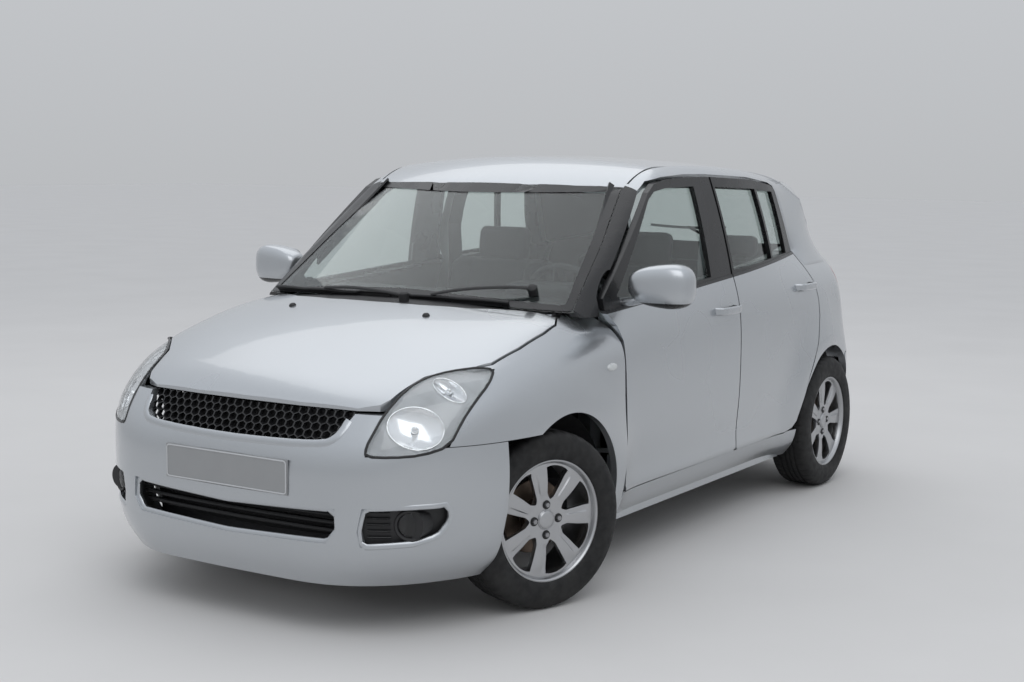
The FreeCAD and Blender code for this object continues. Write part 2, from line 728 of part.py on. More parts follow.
def make_side_frame(roof, fender):
    """Rocker, rear quarter, pillars and roof rail of the left side, with the door openings cut."""
    rows = []
    for station, lean in CABIN_ROWS:
        heart = Vector(300, DOOR_Y + station, 1130)
        turns = [math.radians(angle) for angle in CABIN_ANGLES]
        rows.append([(heart, Vector(math.cos(turn), lean * math.cos(turn), math.sin(turn))) for turn in turns])
    upper = wall(upper_field, rows, 40).common(ABOVE_BELT).cut(block(0, 1000, NOSE, RAIL_START, 0, 2000))
    upper = upper.cut(block(0, S["roof_edge"], NOSE, TAIL + 50, 1404, 2000))
    doors = [side_bar(grown(from_door(outline), GAP / 2), 500, 1000) for outline in (FRONT_DOOR, REAR_DOOR)]
    gate = long_bar(TAILGATE, REAR_AXLE + 100, TAIL + 200)
    for bar in doors + [gate, TAIL_LAMP_BAR]:
        upper = upper.cut(bar)
    frame = make_quarter()
    for piece in [make_rocker(), largest(upper), make_front_pillar(fender)] + make_side_posts(fender):
        frame = frame.fuse(piece)
    return largest(frame.cut(roof).cut(fender))


# The plane across the car where the front pillar meets the roof rail.
RAIL_START = DOOR_Y + 372


def make_front_pillar(fender):
    """The pillar beside the windscreen, clear of the door's front corner as it swings in."""
    foot, head = Vector(559, DOOR_Y - 90, 810), Vector(449, DOOR_Y + 480, 1280)
    glassward, outward = Vector(0, -0.57, 0.82), Vector(1, 0, 0.12)
    rows = []
    for i in range(9):
        heart = foot + (head - foot) * (i / 8)
        turns = [math.radians(angle) for angle in (-15, 0, 15, 30, 42, 54, 66, 80, 95, 110)]
        rows.append([(heart, glassward * math.cos(turn) + outward * math.sin(turn)) for turn in turns])
    pillar = wall(upper_field, rows, S["bumper_depth"])
    pillar = pillar.common(block(300, 900, DOOR_Y - 260, RAIL_START, 946, 1500)).cut(long_bar(SCREEN, -2000, 1000))
    pillar = pillar.cut(side_bar(grown(from_door(FRONT_DOOR), GAP / 2), 500, 1000))
    corner = Vector(HINGE_X, DOOR_Y + HINGE_BACK, 940)
    sweep = Part.makeCylinder(139, 72, corner).fuse(Part.makeCone(139, 92, 90, corner + Vector(0, 0, 72)))
    return largest(pillar.cut(sweep).cut(fender))


def make_side_posts(fender):
    """Sill, hinge post, centre pillar and roof rail inside the left doors."""
    sill = block(640, 735, DOOR_Y - 60, DOOR_Y + 1560, S["floor_height"] + 1, 298)
    floor = S["floor_height"] + 5
    profile = [(640, floor), (690, floor), (690, 740), (672, 860), (652, 945), (610, 945), (628, 860), (640, 740)]
    post = long_bar(profile, DOOR_Y - 60, DOOR_Y + 20)
    shoulder = long_bar(profile[3:6] + [(628, 860)], DOOR_Y - 170, DOOR_Y - 55).cut(fender)
    pillar = [
        (650, 290), (690, 290), (694, 420), (706, 600), (704, 760), (692, 900), (672, 980), (656, 1030), (656, 1050),
        (682, 1100), (668, 1200), (642, 1300), (608, 1400), (598, 1440), (556, 1440), (566, 1400), (604, 1300),
        (628, 1200), (622, 1080), (622, 980), (646, 800),
    ]
    centre = long_bar(pillar, PILLAR_Y - 55, PILLAR_Y + 50)
    stations = [RAIL_START] + [DOOR_Y + step for step in (470, 700, 1000, 1400, 1800, 2050, 2150)]
    line = [(y, top_z(575, y)) for y in stations]
    rail_outline = [(y, z - 12) for y, z in line] + [(y, z - 58) for y, z in reversed(line)]
    arms = [hinge_arm(edge_y, level) for edge_y, levels in HINGE_LEVELS.items() for level in levels]
    return [sill, post, largest(shoulder), centre, side_bar(rail_outline, 556, 604)] + arms


# Door hinges: each door turns about an upright axis just inside its skin, behind its leading edge.
HINGE_X = S["door_half_width"] - 20
HINGE_BACK = 33.5
HINGE_LEVELS = {DOOR_Y: (450, 640), PILLAR_Y: (600, 780)}
PIN = 3.0
EYE = 5.0
BORE = PIN + 0.05


def hinge_arm(edge_y, level):
    """Body side of one door hinge: an arm from the pillar, its eye and its pin."""
    y = edge_y + HINGE_BACK
    arm = upright_bar([(680, y - 50), (HINGE_X, y - EYE), (HINGE_X, y + EYE), (680, y - 34)], level - 8, level + 8)
    eye = Part.makeCylinder(EYE, 16, Vector(HINGE_X, y, level - 8))
    pin = Part.makeCylinder(PIN, 36, Vector(HINGE_X, y, level - 18))
    return joined([arm, eye, pin])


def hinge_knuckles(edge_y, level):
    """Door side of one hinge: the pocket to cut, and two eyes that ride on the pin."""
    y = edge_y + HINGE_BACK
    pocket = block(600, HINGE_X + EYE + 1, edge_y - 60, y + EYE + 2, level - 20, level + 20)
    bore = Part.makeCylinder(BORE, 60, Vector(HINGE_X, y, level - 30))
    eyes = []
    for bottom in (level - 24, level + 13):
        plate = block(HINGE_X - EYE, HINGE_X + EYE + 2, y - EYE, y + EYE + 4, bottom, bottom + 11)
        eyes.append(plate.cut(bore))
    return pocket, bore, eyes


def side_sheet(shape_x, y0, y1, z0, z1, inset, depth):
    """A wall whose outer face is shape_x(y, z) less an inset, extruded inwards."""
    grid = []
    for i in range(12):
        y = y0 + (y1 - y0) * i / 11
        grid.append([Vector(shape_x(y, z0 + (z1 - z0) * j / 12) - inset, y, z0 + (z1 - z0) * j / 12) for j in range(13)])
    surface = Part.BSplineSurface()
    surface.interpolate(grid)
    return surface.toShape().extrude(Vector(-depth, 0, 0))


def make_door(outline, window, divider=None):
    """A left door: outer skin, thinner inner part stepped in all round, and window frame."""
    edge = from_door(outline)
    low, high = min(y for y, z in edge) - 40, max(y for y, z in edge) + 40
    span = (low, high, 280, 1160)
    skin = side_sheet(side_x, *span, 0, S["door_skin"])
    skin = skin.common(side_bar(grown(edge, -GAP / 2), 500, 1000)).common(BELOW_BELT)
    core = side_sheet(side_x, *span, S["door_skin"], S["door_depth"] - S["door_skin"])
    core = core.common(side_bar(grown(edge, -GAP / 2 - S["door_step"]), 500, 1000)).common(BELOW_BELT)
    core = core.cut(block(0, 1000, DOOR_Y - 300, DOOR_Y + 12, 0, 2000))
    edge_y = DOOR_Y if outline is FRONT_DOOR else PILLAR_Y
    panel = skin.fuse(core)
    for level in HINGE_LEVELS[edge_y]:
        pocket, bore, eyes = hinge_knuckles(edge_y, level)
        panel = panel.cut(pocket)
        for eye in eyes:
            panel = panel.fuse(eye)
        panel = panel.cut(bore)
    frame = side_sheet(glass_x, low, high, 920, 1460, -2, S["frame_depth"])
    frame = frame.common(side_bar(grown(edge, -GAP / 2 - 4), 500, 1000)).common(ABOVE_BELT)
    opening = side_bar(from_door(window), 500, 1000)
    if divider:
        opening = opening.cut(side_bar(from_door(divider), 500, 1000))
    glass = side_sheet(glass_x, low, high, 920, 1460, 14, S["glass_thickness"]).common(opening)
    return panel.fuse(frame.cut(opening)), glass


DIVIDER = [(1357, 1420), (1379, 1420), (1488, 1040), (1466, 1040)]


def make_handle(y, z):
    """A pull handle standing off the door on two feet."""
    base = side_x(y, z) - 6
    outline = [
        (0, -100), (34, -88), (42, -60), (44, 0), (42, 60), (34, 88), (0, 100), (0, 72), (26, 62), (28, 0),
        (26, -62), (0, -72),
    ]
    bar = upright_bar([(base + x, y + dy) for x, dy in outline], z - 15, z + 15)
    rim = [line for line in bar.Edges if abs(line.BoundBox.ZLength) < 0.01 and line.BoundBox.XMax > base + 33]
    return bar.makeFillet(6, rim)


def make_mirror():
    """A door mirror on a short arm, for the left door."""
    shell = Part.makeBox(200, 116, 140, Vector(795, DOOR_Y + 30, 982))
    shell = shell.makeFillet(52, [line for line in shell.Edges])
    arm = block(744, 850, DOOR_Y + 55, DOOR_Y + 115, 984, 1020)
    return joined([shell, arm])


# Wheels: each is drawn about its own centre, outer face to +X, and then placed.

def share(name, factor=1.0, more=0.0):
    """A size from the sheet, times a factor, plus a number: its value now and its rule."""
    return S[name] * factor + more, f"Sizes.{name} * {factor} + {more}"


def outline_sketch(body, name, plane_role, outline):
    """A closed, fully placed sketch whose points follow the sheet."""
    sketch = body.newObject("Sketcher::SketchObject", name)
    plane = [item for item in body.Origin.OriginFeatures if item.Role == plane_role][0]
    sketch.AttachmentSupport = (plane, "")
    sketch.MapMode = "FlatFace"
    rules = [[entry if isinstance(entry, tuple) else (entry, str(entry)) for entry in point] for point in outline]
    count = len(outline)
    for i in range(count):
        start, end = rules[i], rules[(i + 1) % count]
        line = Part.LineSegment(Vector(start[0][0], start[1][0], 0), Vector(end[0][0], end[1][0], 0))
        sketch.addGeometry(line, False)
    for i in range(count):
        sketch.addConstraint(Sketcher.Constraint("Coincident", i, 2, (i + 1) % count, 1))
    for i, point in enumerate(rules):
        for kind, (value, rule) in zip(("DistanceX", "DistanceY"), point):
            index = sketch.addConstraint(Sketcher.Constraint(kind, -1, 1, i, 1, float(value)))
            sketch.setExpression(f"Constraints[{index}]", rule)
    return sketch


def turned(body, name, outline):
    """Revolve an outline of (x, radius) pairs about the body's X axis."""
    turn = body.newObject("PartDesign::Revolution", name)
    turn.Profile = outline_sketch(body, name + "_profile", "XY_Plane", outline)
    turn.ReferenceAxis = (turn.Profile[0], ["H_Axis"])
    turn.Angle = 360
    body.Tip = turn
    doc.recompute()


BEAD = share("rim_radius", 1, -7)
TYRE_PROFILE = [
    (share("tyre_width", -0.41), BEAD), (share("tyre_width", -0.41), share("rim_radius", 1, 2)),
    (share("tyre_width", -0.475), share("rim_radius", 1, 10)), (share("tyre_width", -0.5), share("tyre_radius", 0.83)),
    (share("tyre_width", -0.475), share("tyre_radius", 0.935)), (share("tyre_width", -0.41), share("tyre_radius", 0.982)),
    (share("tyre_width", -0.28), share("tyre_radius", 0.997)), (0, share("tyre_radius")),
    (share("tyre_width", 0.28), share("tyre_radius", 0.997)), (share("tyre_width", 0.41), share("tyre_radius", 0.982)),
    (share("tyre_width", 0.475), share("tyre_radius", 0.935)), (share("tyre_width", 0.5), share("tyre_radius", 0.83)),
    (share("tyre_width", 0.475), share("rim_radius", 1, 10)), (share("tyre_width", 0.41), share("rim_radius", 1, 2)),
    (share("tyre_width", 0.41), BEAD),
]
BARREL_PROFILE = [
    (share("tyre_width", -0.41, -6), share("rim_radius")), (share("tyre_width", -0.41, -0.3), share("rim_radius")),
    (share("tyre_width", -0.41, -0.3), share("rim_radius", 1, -7.3)),
    (share("tyre_width", 0.41, 0.3), share("rim_radius", 1, -7.3)), (share("tyre_width", 0.41, 0.3), share("rim_radius")),
    (share("tyre_width", 0.41, 6), share("rim_radius")), (share("tyre_width", 0.41, 6), share("rim_radius", 1, -12)),
    (share("tyre_width", 0.3), share("rim_radius", 1, -20)), (share("tyre_width", -0.3), share("rim_radius", 1, -20)),
    (share("tyre_width", -0.41, -6), share("rim_radius", 1, -12)),
]
STUB_RADIUS = 20.0
HUB_PROFILE = [
    (-22, STUB_RADIUS + 0.05), (-22, 125), (-8, 125), (-8, 72), (20, 72), (20, 62), (62, 62), (70, 44), (70, 0),
    (10, 0), (10, STUB_RADIUS + 0.05),
]
SPOKE_PROFILE = [(-24, 48), (24, 48), (35, share("rim_radius", 1, -17)), (-35, share("rim_radius", 1, -17))]
SPOKES = 7


def make_tyre(name):
    body = doc.addObject("PartDesign::Body", name)
    turned(body, name + "_turn", TYRE_PROFILE)
    return body


def make_rim(name):
    """Barrel, hub with brake disc, and seven flat spokes."""
    body = doc.addObject("PartDesign::Body", name)
    turned(body, name + "_barrel", BARREL_PROFILE)
    spoke = body.newObject("PartDesign::Pad", name + "_spoke")
    spoke.Profile = outline_sketch(body, name + "_spoke_outline", "YZ_Plane", SPOKE_PROFILE)
    spoke.Length = 66
    body.Tip = spoke
    doc.recompute()
    ring = body.newObject("PartDesign::PolarPattern", name + "_spokes")
    ring.Originals = [spoke]
    ring.Axis = ([item for item in body.Origin.OriginFeatures if item.Role == "X_Axis"][0], [""])
    ring.Angle = 360
    ring.Occurrences = SPOKES
    body.Tip = ring
    doc.recompute()
    well = body.newObject("PartDesign::Groove", name + "_well")
    well.Profile = outline_sketch(body, name + "_well_outline", "XY_Plane",
                                  [(-30, 40), (44, 40), (44, share("rim_radius", 1, -22)), (-30, share("rim_radius", 1, -22))])
    well.ReferenceAxis = (well.Profile[0], ["H_Axis"])
    well.Angle = 360
    body.Tip = well
    doc.recompute()
    turned(body, name + "_hub", HUB_PROFILE)
    return body


KING_X = S["kingpin_spread"] / 2
STEER = math.radians(S["steer_at_rest"])


def wheel_placement(side, front):
    """Centre and heading of a wheel: side is +1 on the left; the front ones keep the photo's steering."""
    half = S["front_track"] / 2 if front else S["rear_track"] / 2
    heading = (0 if side > 0 else 180) - (S["steer_at_rest"] if front else 0)
    if not front:
        return FreeCAD.Placement(Vector(side * half, REAR_AXLE, WHEEL_Z), FreeCAD.Rotation(Vector(0, 0, 1), heading))
    arm = side * (half - KING_X)
    centre = Vector(side * KING_X + arm * math.cos(STEER), FRONT_AXLE - arm * math.sin(STEER), WHEEL_Z)
    return FreeCAD.Placement(centre, FreeCAD.Rotation(Vector(0, 0, 1), heading))


KING_PIN = 10.0


def make_knuckle(side):
    """Strut leg and hub carrier on the kingpin axis, with the stub axle, turned as the wheel is."""
    arm = S["front_track"] / 2 - KING_X
    leg = Part.makeCylinder(24, 250, Vector(0, 0, WHEEL_Z - 120))
    pin = Part.makeCylinder(KING_PIN, 300, Vector(0, 0, WHEEL_Z - 145))
    carrier = block(0, arm - 44, -42, 42, -70 + WHEEL_Z, 70 + WHEEL_Z)
    stub = Part.makeCylinder(STUB_RADIUS, arm + 9.5, Vector(0, 0, WHEEL_Z), Vector(1, 0, 0))
    knuckle = joined([leg, pin, carrier, stub])
    if side < 0:
        knuckle.rotate(Vector(0, 0, 0), Vector(0, 0, 1), 180)
    knuckle.rotate(Vector(0, 0, 0), Vector(0, 0, 1), -S["steer_at_rest"])
    knuckle.translate(Vector(side * KING_X, FRONT_AXLE, 0))
    return knuckle


RAIL_X = (380, 445)
FIREWALL_Y = FRONT_AXLE + 382
FLOOR_Z = S["floor_height"]


def make_floor(fender, bumper, rear_bumper, frame, cowl):
    """Floor, firewall, rails, wheel housings, boot floor and bumper beams."""
    seat_y, boot_y, end_y = DOOR_Y + 1400, DOOR_Y + 1820, TAIL - 110
    pieces = [
        block(-640, 640, FIREWALL_Y, seat_y, FLOOR_Z + 5, FLOOR_Z + 22),
        block(-110, 110, FIREWALL_Y, seat_y, FLOOR_Z + 5, FLOOR_Z + 140),
        block(-640, 640, FIREWALL_Y, FIREWALL_Y + 18, FLOOR_Z + 5, 940),
        block(-580, 580, seat_y - 18, seat_y, FLOOR_Z + 5, 350),
        block(-580, 580, seat_y - 18, boot_y, 332, 350),
        block(-580, 580, boot_y - 18, boot_y, 332, 490),
        block(-592, 592, boot_y - 18, end_y, 470, 490),
        block(-592, 592, end_y - 18, end_y, 300, 625),
        block(-445, 445, NOSE + 185, NOSE + 255, 228, 258),
        block(-445, 445, NOSE + 160, NOSE + 185, 228, 430),
    ]
    pieces += both(RAIL_X[0], RAIL_X[1], NOSE + 160, FIREWALL_Y + 10, 330, 430)
    pieces += both(RAIL_X[1] - 4, RAIL_X[1] + 6, FRONT_ARCH - 356, FIREWALL_Y + 10, 330, 765)
    pieces += both(440, 640, FRONT_AXLE - 70, FRONT_AXLE + 70, 702, 722)
    pieces += both(440, 520, boot_y - 18, end_y, 380, 480)
    pieces += both(500, 580, seat_y - 18, seat_y + 150, 250, 350)
    pieces += both(582, 592, REAR_ARCH - 350, end_y, 330, 700)
    floor = joined(pieces)
    housing = Part.makeCylinder(S["arch_radius"] + 6, 160, Vector(586, REAR_ARCH, WHEEL_Z), Vector(1, 0, 0))
    housing = housing.cut(rear_arch_bar(S["arch_radius"], 592, 900))
    housing = housing.common(block(0, 1000, 0, TAIL, WHEEL_Z + 60, 1000)).cut(rear_bumper)
    for side in pair(housing):
        floor = floor.fuse(side)
    for side in pair(rear_arch_bar(70, 560, 900)):
        floor = floor.cut(side)
    shelf = block(RAIL_X[1], 830, FRONT_AXLE - 260, FRONT_AXLE + 250, 735, 765)
    shelf = largest(shelf.cut(fender))
    floor = floor.fuse(shelf).fuse(mirrored(shelf))
    beam = largest(block(-560, 560, NOSE + 40, NOSE + 170, 450, 530).cut(bumper))
    rear_beam = largest(block(-560, 560, end_y - 10, TAIL - 20, 420, 500).cut(rear_bumper))
    floor = floor.fuse(beam).fuse(rear_beam)
    for side in pair(frame) + pair(fender):
        floor = floor.cut(side)
    return largest(floor.cut(cowl))


def make_cowl(screen, fender, frame):
    """The black panel between the bonnet's rear edge and the windscreen."""
    rows = []
    for station in (-1, -0.9, -0.74, -0.5, -0.25, 0, 0.25, 0.5, 0.74, 0.9, 1):
        heart = Vector(station * 700, NOSE + 850, 300)
        rows.append([(heart, Vector(0, run, 1)) for run in (-0.17, -0.05, 0.07, 0.2, 0.34, 0.5)])
    panel = wall(lower_field, rows, 22, 9)
    rear = [(x, NOSE + y) for x, y in BONNET_HALF[-5:]]
    edge = rear + [(-x, y) for x, y in rear[-2::-1]]
    zone = edge + [(-660, FIREWALL_Y + 12), (660, FIREWALL_Y + 12)]
    panel = panel.common(upright_bar(zone, 600, 1200)).cut(screen)
    for side in pair(fender) + pair(frame):
        panel = panel.cut(side)
    return carry(largest(panel), BONNET_HINGE, -1)


def make_seat(x, y, width):
    """A front seat: cushion, back and head restraint in one closed form, on a plinth."""
    profile = [
        (-250, 400), (-240, 470), (-120, 492), (180, 462), (240, 520), (360, 1000), (400, 1030), (450, 1020),
        (370, 560), (300, 400),
    ]
    seat = side_bar([(y + dy, z) for dy, z in profile], x - width / 2, x + width / 2)
    seat = seat.makeFillet(26, [line for line in seat.Edges if line.BoundBox.XLength < 1])
    rest = Part.makeBox(250, 90, 160, Vector(x - 125, y + 365, 1040))
    posts = [Part.makeCylinder(8, 60, Vector(x + dx, y + 410, 1000)) for dx in (-70, 70)]
    plinth = block(x - 190, x + 190, y - 160, y + 230, FLOOR_Z + 22, 410)
    return joined([seat, rest, plinth] + posts)


def make_rear_seat():
    """A bench across the car with a split back in one closed form."""
    y = DOOR_Y + 1420
    profile = [
        (0, 350), (10, 470), (60, 500), (330, 470), (400, 540), (540, 1000), (590, 1020), (640, 1000), (520, 492),
        (380, 492), (380, 350),
    ]
    seat = side_bar([(y + dy, z) for dy, z in profile], -560, 560)
    rests = []
    for x in (-300, 300):
        rest = Part.makeBox(230, 80, 110, Vector(x - 115, y + 545, 1035))
        rests.append(rest.makeFillet(24, rest.Edges))
        rests += [Part.makeCylinder(8, 60, Vector(x + dx, y + 590, 1000)) for dx in (-60, 60)]
    return joined([seat] + rests)


WHEEL_CENTRE = Vector(365, DOOR_Y + 345, 935)
COLUMN_AIM = Vector(0, 0.88, 0.475).normalize()
SHAFT = 12.0


def make_dashboard():
    """Dashboard with instrument hood, centre console and steering column."""
    y = FIREWALL_Y + 18
    profile = [
        (0, 660), (0, 925), (50, 972), (190, 985), (270, 960), (300, 900), (286, 820), (240, 720), (150, 640), (60, 640),
    ]
    panel = side_bar([(y + dy, z) for dy, z in profile], -602, 602)
    panel = panel.makeFillet(18, [line for line in panel.Edges if line.BoundBox.XLength > 100 and line.BoundBox.YMin > y + 100])
    hood = Part.makeBox(300, 150, 90, Vector(WHEEL_CENTRE.x - 150, y + 130, 940))
    hood = hood.makeFillet(28, hood.Edges)
    console = block(-92, 92, y + 120, y + 420, FLOOR_Z + 140, 690)
    column = Part.makeCylinder(34, 197, WHEEL_CENTRE - COLUMN_AIM * 234, COLUMN_AIM)
    shaft = Part.makeCylinder(SHAFT, 60, WHEEL_CENTRE - COLUMN_AIM * 73, COLUMN_AIM)
    return joined([panel, hood, console, column, shaft])


def make_steering_wheel():
    """Rim, boss and three spokes, drawn about Z and tilted onto the column."""
    ring = Part.makeTorus(S["steering_wheel_radius"] - 14, 14)
    boss = Part.makeCylinder(62, 34, Vector(0, 0, -32))
    boss = boss.makeFillet(10, [boss.Edges[0]])
    pieces = [ring, boss]
    for turn in (0, 180, 270):
        spoke = block(40, S["steering_wheel_radius"] - 12, -16, 16, -12, 2)
        spoke.rotate(Vector(0, 0, 0), Vector(0, 0, 1), turn)
        pieces.append(spoke)
    wheel = joined(pieces).cut(Part.makeCylinder(SHAFT + 0.05, 22, Vector(0, 0, -34)))
    wheel.Placement = FreeCAD.Placement(WHEEL_CENTRE, FreeCAD.Rotation(Vector(0, 0, 1), COLUMN_AIM))
    return wheel


def make_front_suspension():
    """Subframe, lower arms and upper strut legs, bored for the pins of the knuckles."""
    near, far = FRONT_AXLE + 60, FRONT_AXLE + 130
    pieces = [block(-340, 340, FRONT_AXLE - 60, FRONT_AXLE + 200, 150, 228)]
    pieces += both(*RAIL_X, near, far, 190, 330) + both(330, RAIL_X[1], near, far, 190, 228)
    outline = [(320, -55), (KING_X, -26), (KING_X + 26, 0), (KING_X, 26), (320, 180)]
    pieces += pair(upright_bar([(x, FRONT_AXLE + dy) for x, dy in outline], 152, 176))
    bores = pair(Part.makeCylinder(KING_PIN + 0.05, 330, Vector(KING_X, FRONT_AXLE, 150)))
    frame = joined(pieces).cut(bores[0]).cut(bores[1])
    leg = Part.makeCylinder(22, 702 - WHEEL_Z - 133, Vector(KING_X, FRONT_AXLE, WHEEL_Z + 133)).cut(bores[0])
    return Part.makeCompound([frame] + pair(leg))


def make_rear_axle():
    """Twist beam with trailing arms and stub axles."""
    beam = Part.makeCylinder(36, 1100, Vector(-550, REAR_AXLE - 120, WHEEL_Z - 12), Vector(1, 0, 0))
    arms = both(512, 560, DOOR_Y + 1550, REAR_AXLE + 32, 268, 332)
    reach = S["rear_track"] / 2 + 9.5
    stubs = pair(Part.makeCylinder(STUB_RADIUS, reach - 530, Vector(530, REAR_AXLE, WHEEL_Z), Vector(1, 0, 0)))
    return joined([beam] + arms + stubs)


def make_exhaust():
    """Pipe under the tunnel, silencer and tail pipe."""
    radius, z = 24, FLOOR_Z + 5 - 24
    pipe = Part.makeCylinder(radius, DOOR_Y + 1380 - FIREWALL_Y, Vector(-60, FIREWALL_Y, z), Vector(0, 1, 0))
    start = Vector(-60, DOOR_Y + 1380, z)
    bend = Vector(-60, REAR_AXLE - 190, z)
    over = Vector(-60, REAR_AXLE + 60, 150)
    legs = [Part.makeCylinder(radius, (bend - start).Length, start, bend - start)]
    silencer = Part.makeCylinder(85, 420, Vector(-480, TAIL - 230, 262), Vector(1, 0, 0))
    link = Vector(-100, TAIL - 230, 262)
    legs += [Part.makeCylinder(radius, (link - bend).Length, bend, link - bend), Part.makeSphere(radius, bend)]
    tail = Part.makeCylinder(21, 190, Vector(-430, TAIL - 225, 172), Vector(0, 1, 0))
    strap = block(-330, -270, TAIL - 260, TAIL - 200, 340, 470)
    return joined([pipe, silencer, tail, strap] + legs)


def make_wipers(screen):
    """Two blades parked at the foot of the windscreen, with their arms."""
    lift = Vector(0, -0.57, 0.82)
    bars = []
    for (x0, z0), (x1, z1), pivot_x in (((-640, 1003), (-120, 1012), -560), ((-170, 1016), (500, 1018), 60)):
        ends = [Vector(x, screen_y(x, z), z) + lift * 7 for x, z in ((x0, z0), (x1, z1))]
        along = ends[1] - ends[0]
        bars.append(Part.makeCylinder(8, along.Length, ends[0], along))
    return [largest(bar.cut(screen)) for bar in bars]


# Assembly: every node of the car, built from the functions above.

nodes = {}
roof = make_roof()
fender = make_fender()
left_frame = make_side_frame(roof, fender)
bumper = make_front_bumper()
rear_bumper = make_rear_bumper()
screen = make_windscreen().cut(roof).cut(left_frame).cut(mirrored(left_frame))
cowl = make_cowl(screen, fender, left_frame)
nodes["floor_pan"] = make_floor(fender, bumper, rear_bumper, left_frame, cowl)
nodes["side_frame_left"] = left_frame
nodes["side_frame_right"] = mirrored(left_frame)
nodes["roof"] = roof
nodes["front_fenders"] = Part.makeCompound(pair(fender))
nodes["front_bumper"] = bumper
nodes["rear_bumper"] = rear_bumper
nodes["windscreen"] = screen
nodes["cowl"] = cowl
nodes["wipers"] = Part.makeCompound(make_wipers(screen))
nodes["headlamps"] = Part.makeCompound(pair(make_headlamp()))
nodes["fog_lamps"] = make_fog_lamps()
nodes["upper_grille"] = make_upper_grille()
nodes["lower_grille"] = make_lower_grille()
nodes["front_plate"] = plate_block(PLATE_Z, NOSE + 1, NOSE + 8)


def make_tail_lamps():
    levels = (750, 800, 860, 920, 970, 1010, 1060)
    targets = [(820, TAIL - 330), (805, TAIL - 230), (780, TAIL - 140), (730, TAIL - 60), (650, TAIL - 18), (520, TAIL - 2)]
    lamp = plan_fan(side_field, (200, TAIL - 600), targets, levels, 55).common(TAIL_LAMP_BAR)
    return largest(lamp.cut(long_bar(TAILGATE, REAR_AXLE + 100, TAIL + 200)))


nodes["tail_lamps"] = Part.makeCompound(pair(make_tail_lamps()))
nodes["bonnet"] = make_bonnet()
nodes["tailgate"] = make_tailgate()


def make_rear_glass():
    rows = []
    for level in (1070, 1140, 1210, 1280, 1370):
        rows.append([(Vector(x, 0, level), Vector(0, 1, 0)) for x in (-470, -300, -120, 120, 300, 470)])
    return wall(tail_field, rows, S["glass_thickness"], 6).common(long_bar(REAR_GLASS, 1000, 2500))


nodes["rear_plate"] = plate_block(REAR_PLATE_Z, TAIL - 34, TAIL - 27)
nodes["rear_window"] = make_rear_glass()
for label, outline, window, divider, handle in (
    ("front", FRONT_DOOR, FRONT_WINDOW, None, (PILLAR_Y - 125, 900)),
    ("rear", REAR_DOOR, REAR_WINDOW, DIVIDER, (PILLAR_Y + 735, 941)),
):
    door, glass = make_door(outline, window, divider)
    door = door.fuse(make_handle(*handle))
    for side, turn in (("left", lambda shape: shape), ("right", mirrored)):
        nodes[f"door_{label}_{side}"] = turn(door)
        nodes[f"door_glass_{label}_{side}"] = turn(glass)
for side, turn in (("left", lambda shape: shape), ("right", mirrored)):
    nodes[f"mirror_{side}"] = turn(make_mirror().cut(nodes["door_front_left"]))
seat_y = DOOR_Y + 560
front_seats = [make_seat(x, seat_y, S["seat_width"]) for x in (S["seat_offset"], -S["seat_offset"])]
nodes["front_seats"] = Part.makeCompound(front_seats)
nodes["rear_seat"] = make_rear_seat()
nodes["dashboard"] = make_dashboard()
nodes["steering_wheel"] = make_steering_wheel()
nodes["front_suspension"] = make_front_suspension()
nodes["rear_axle"] = make_rear_axle()
nodes["exhaust"] = make_exhaust()
nodes["knuckle_left"] = make_knuckle(1)
nodes["knuckle_right"] = make_knuckle(-1)
nodes["engine"] = block(-300, 280, FRONT_AXLE - 470, FRONT_AXLE + 80, 228, 745)
nodes["radiator"] = block(-330, 330, NOSE + 200, NOSE + 240, 258, 640)
nodes["fuel_tank"] = block(-430, 430, DOOR_Y + 1415, DOOR_Y + 1765, 205, 332)

items = {name: keep(name, shape) for name, shape in nodes.items()}
for label, front in (("front", True), ("rear", False)):
    for side, sign in (("left", 1), ("right", -1)):
        for kind, make in (("tyre", make_tyre), ("rim", make_rim)):
            name = f"{kind}_{label}_{side}"
            items[name] = make(name)
            items[name].Placement = wheel_placement(sign, front)
doc.recompute()

os.makedirs("parts", exist_ok=True)
faults = []
for item in doc.Objects:
    if "Invalid" in item.State or "Error" in item.State:
        faults.append(f"{item.Name} has state {item.State}")
for name, item in items.items():
    item.Label = name
    if item.Shape.isNull() or not item.Shape.isValid() or item.Shape.Volume <= 0:
        faults.append(f"{name} has a bad shape")
    item.Shape.exportStep(f"parts/{name}.step")
if faults:
    raise RuntimeError("; ".join(faults))
print(f"{len(items)} nodes written")
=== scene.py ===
"""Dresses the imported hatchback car: camera, studio, materials and the pieces that carry the fine detail."""
import json
from math import copysign, cos, exp, hypot, pi, radians, sin, sqrt

import bmesh
import bpy
from mathutils import Matrix, Vector
from mathutils.bvhtree import BVHTree
from mathutils.geometry import delaunay_2d_cdt


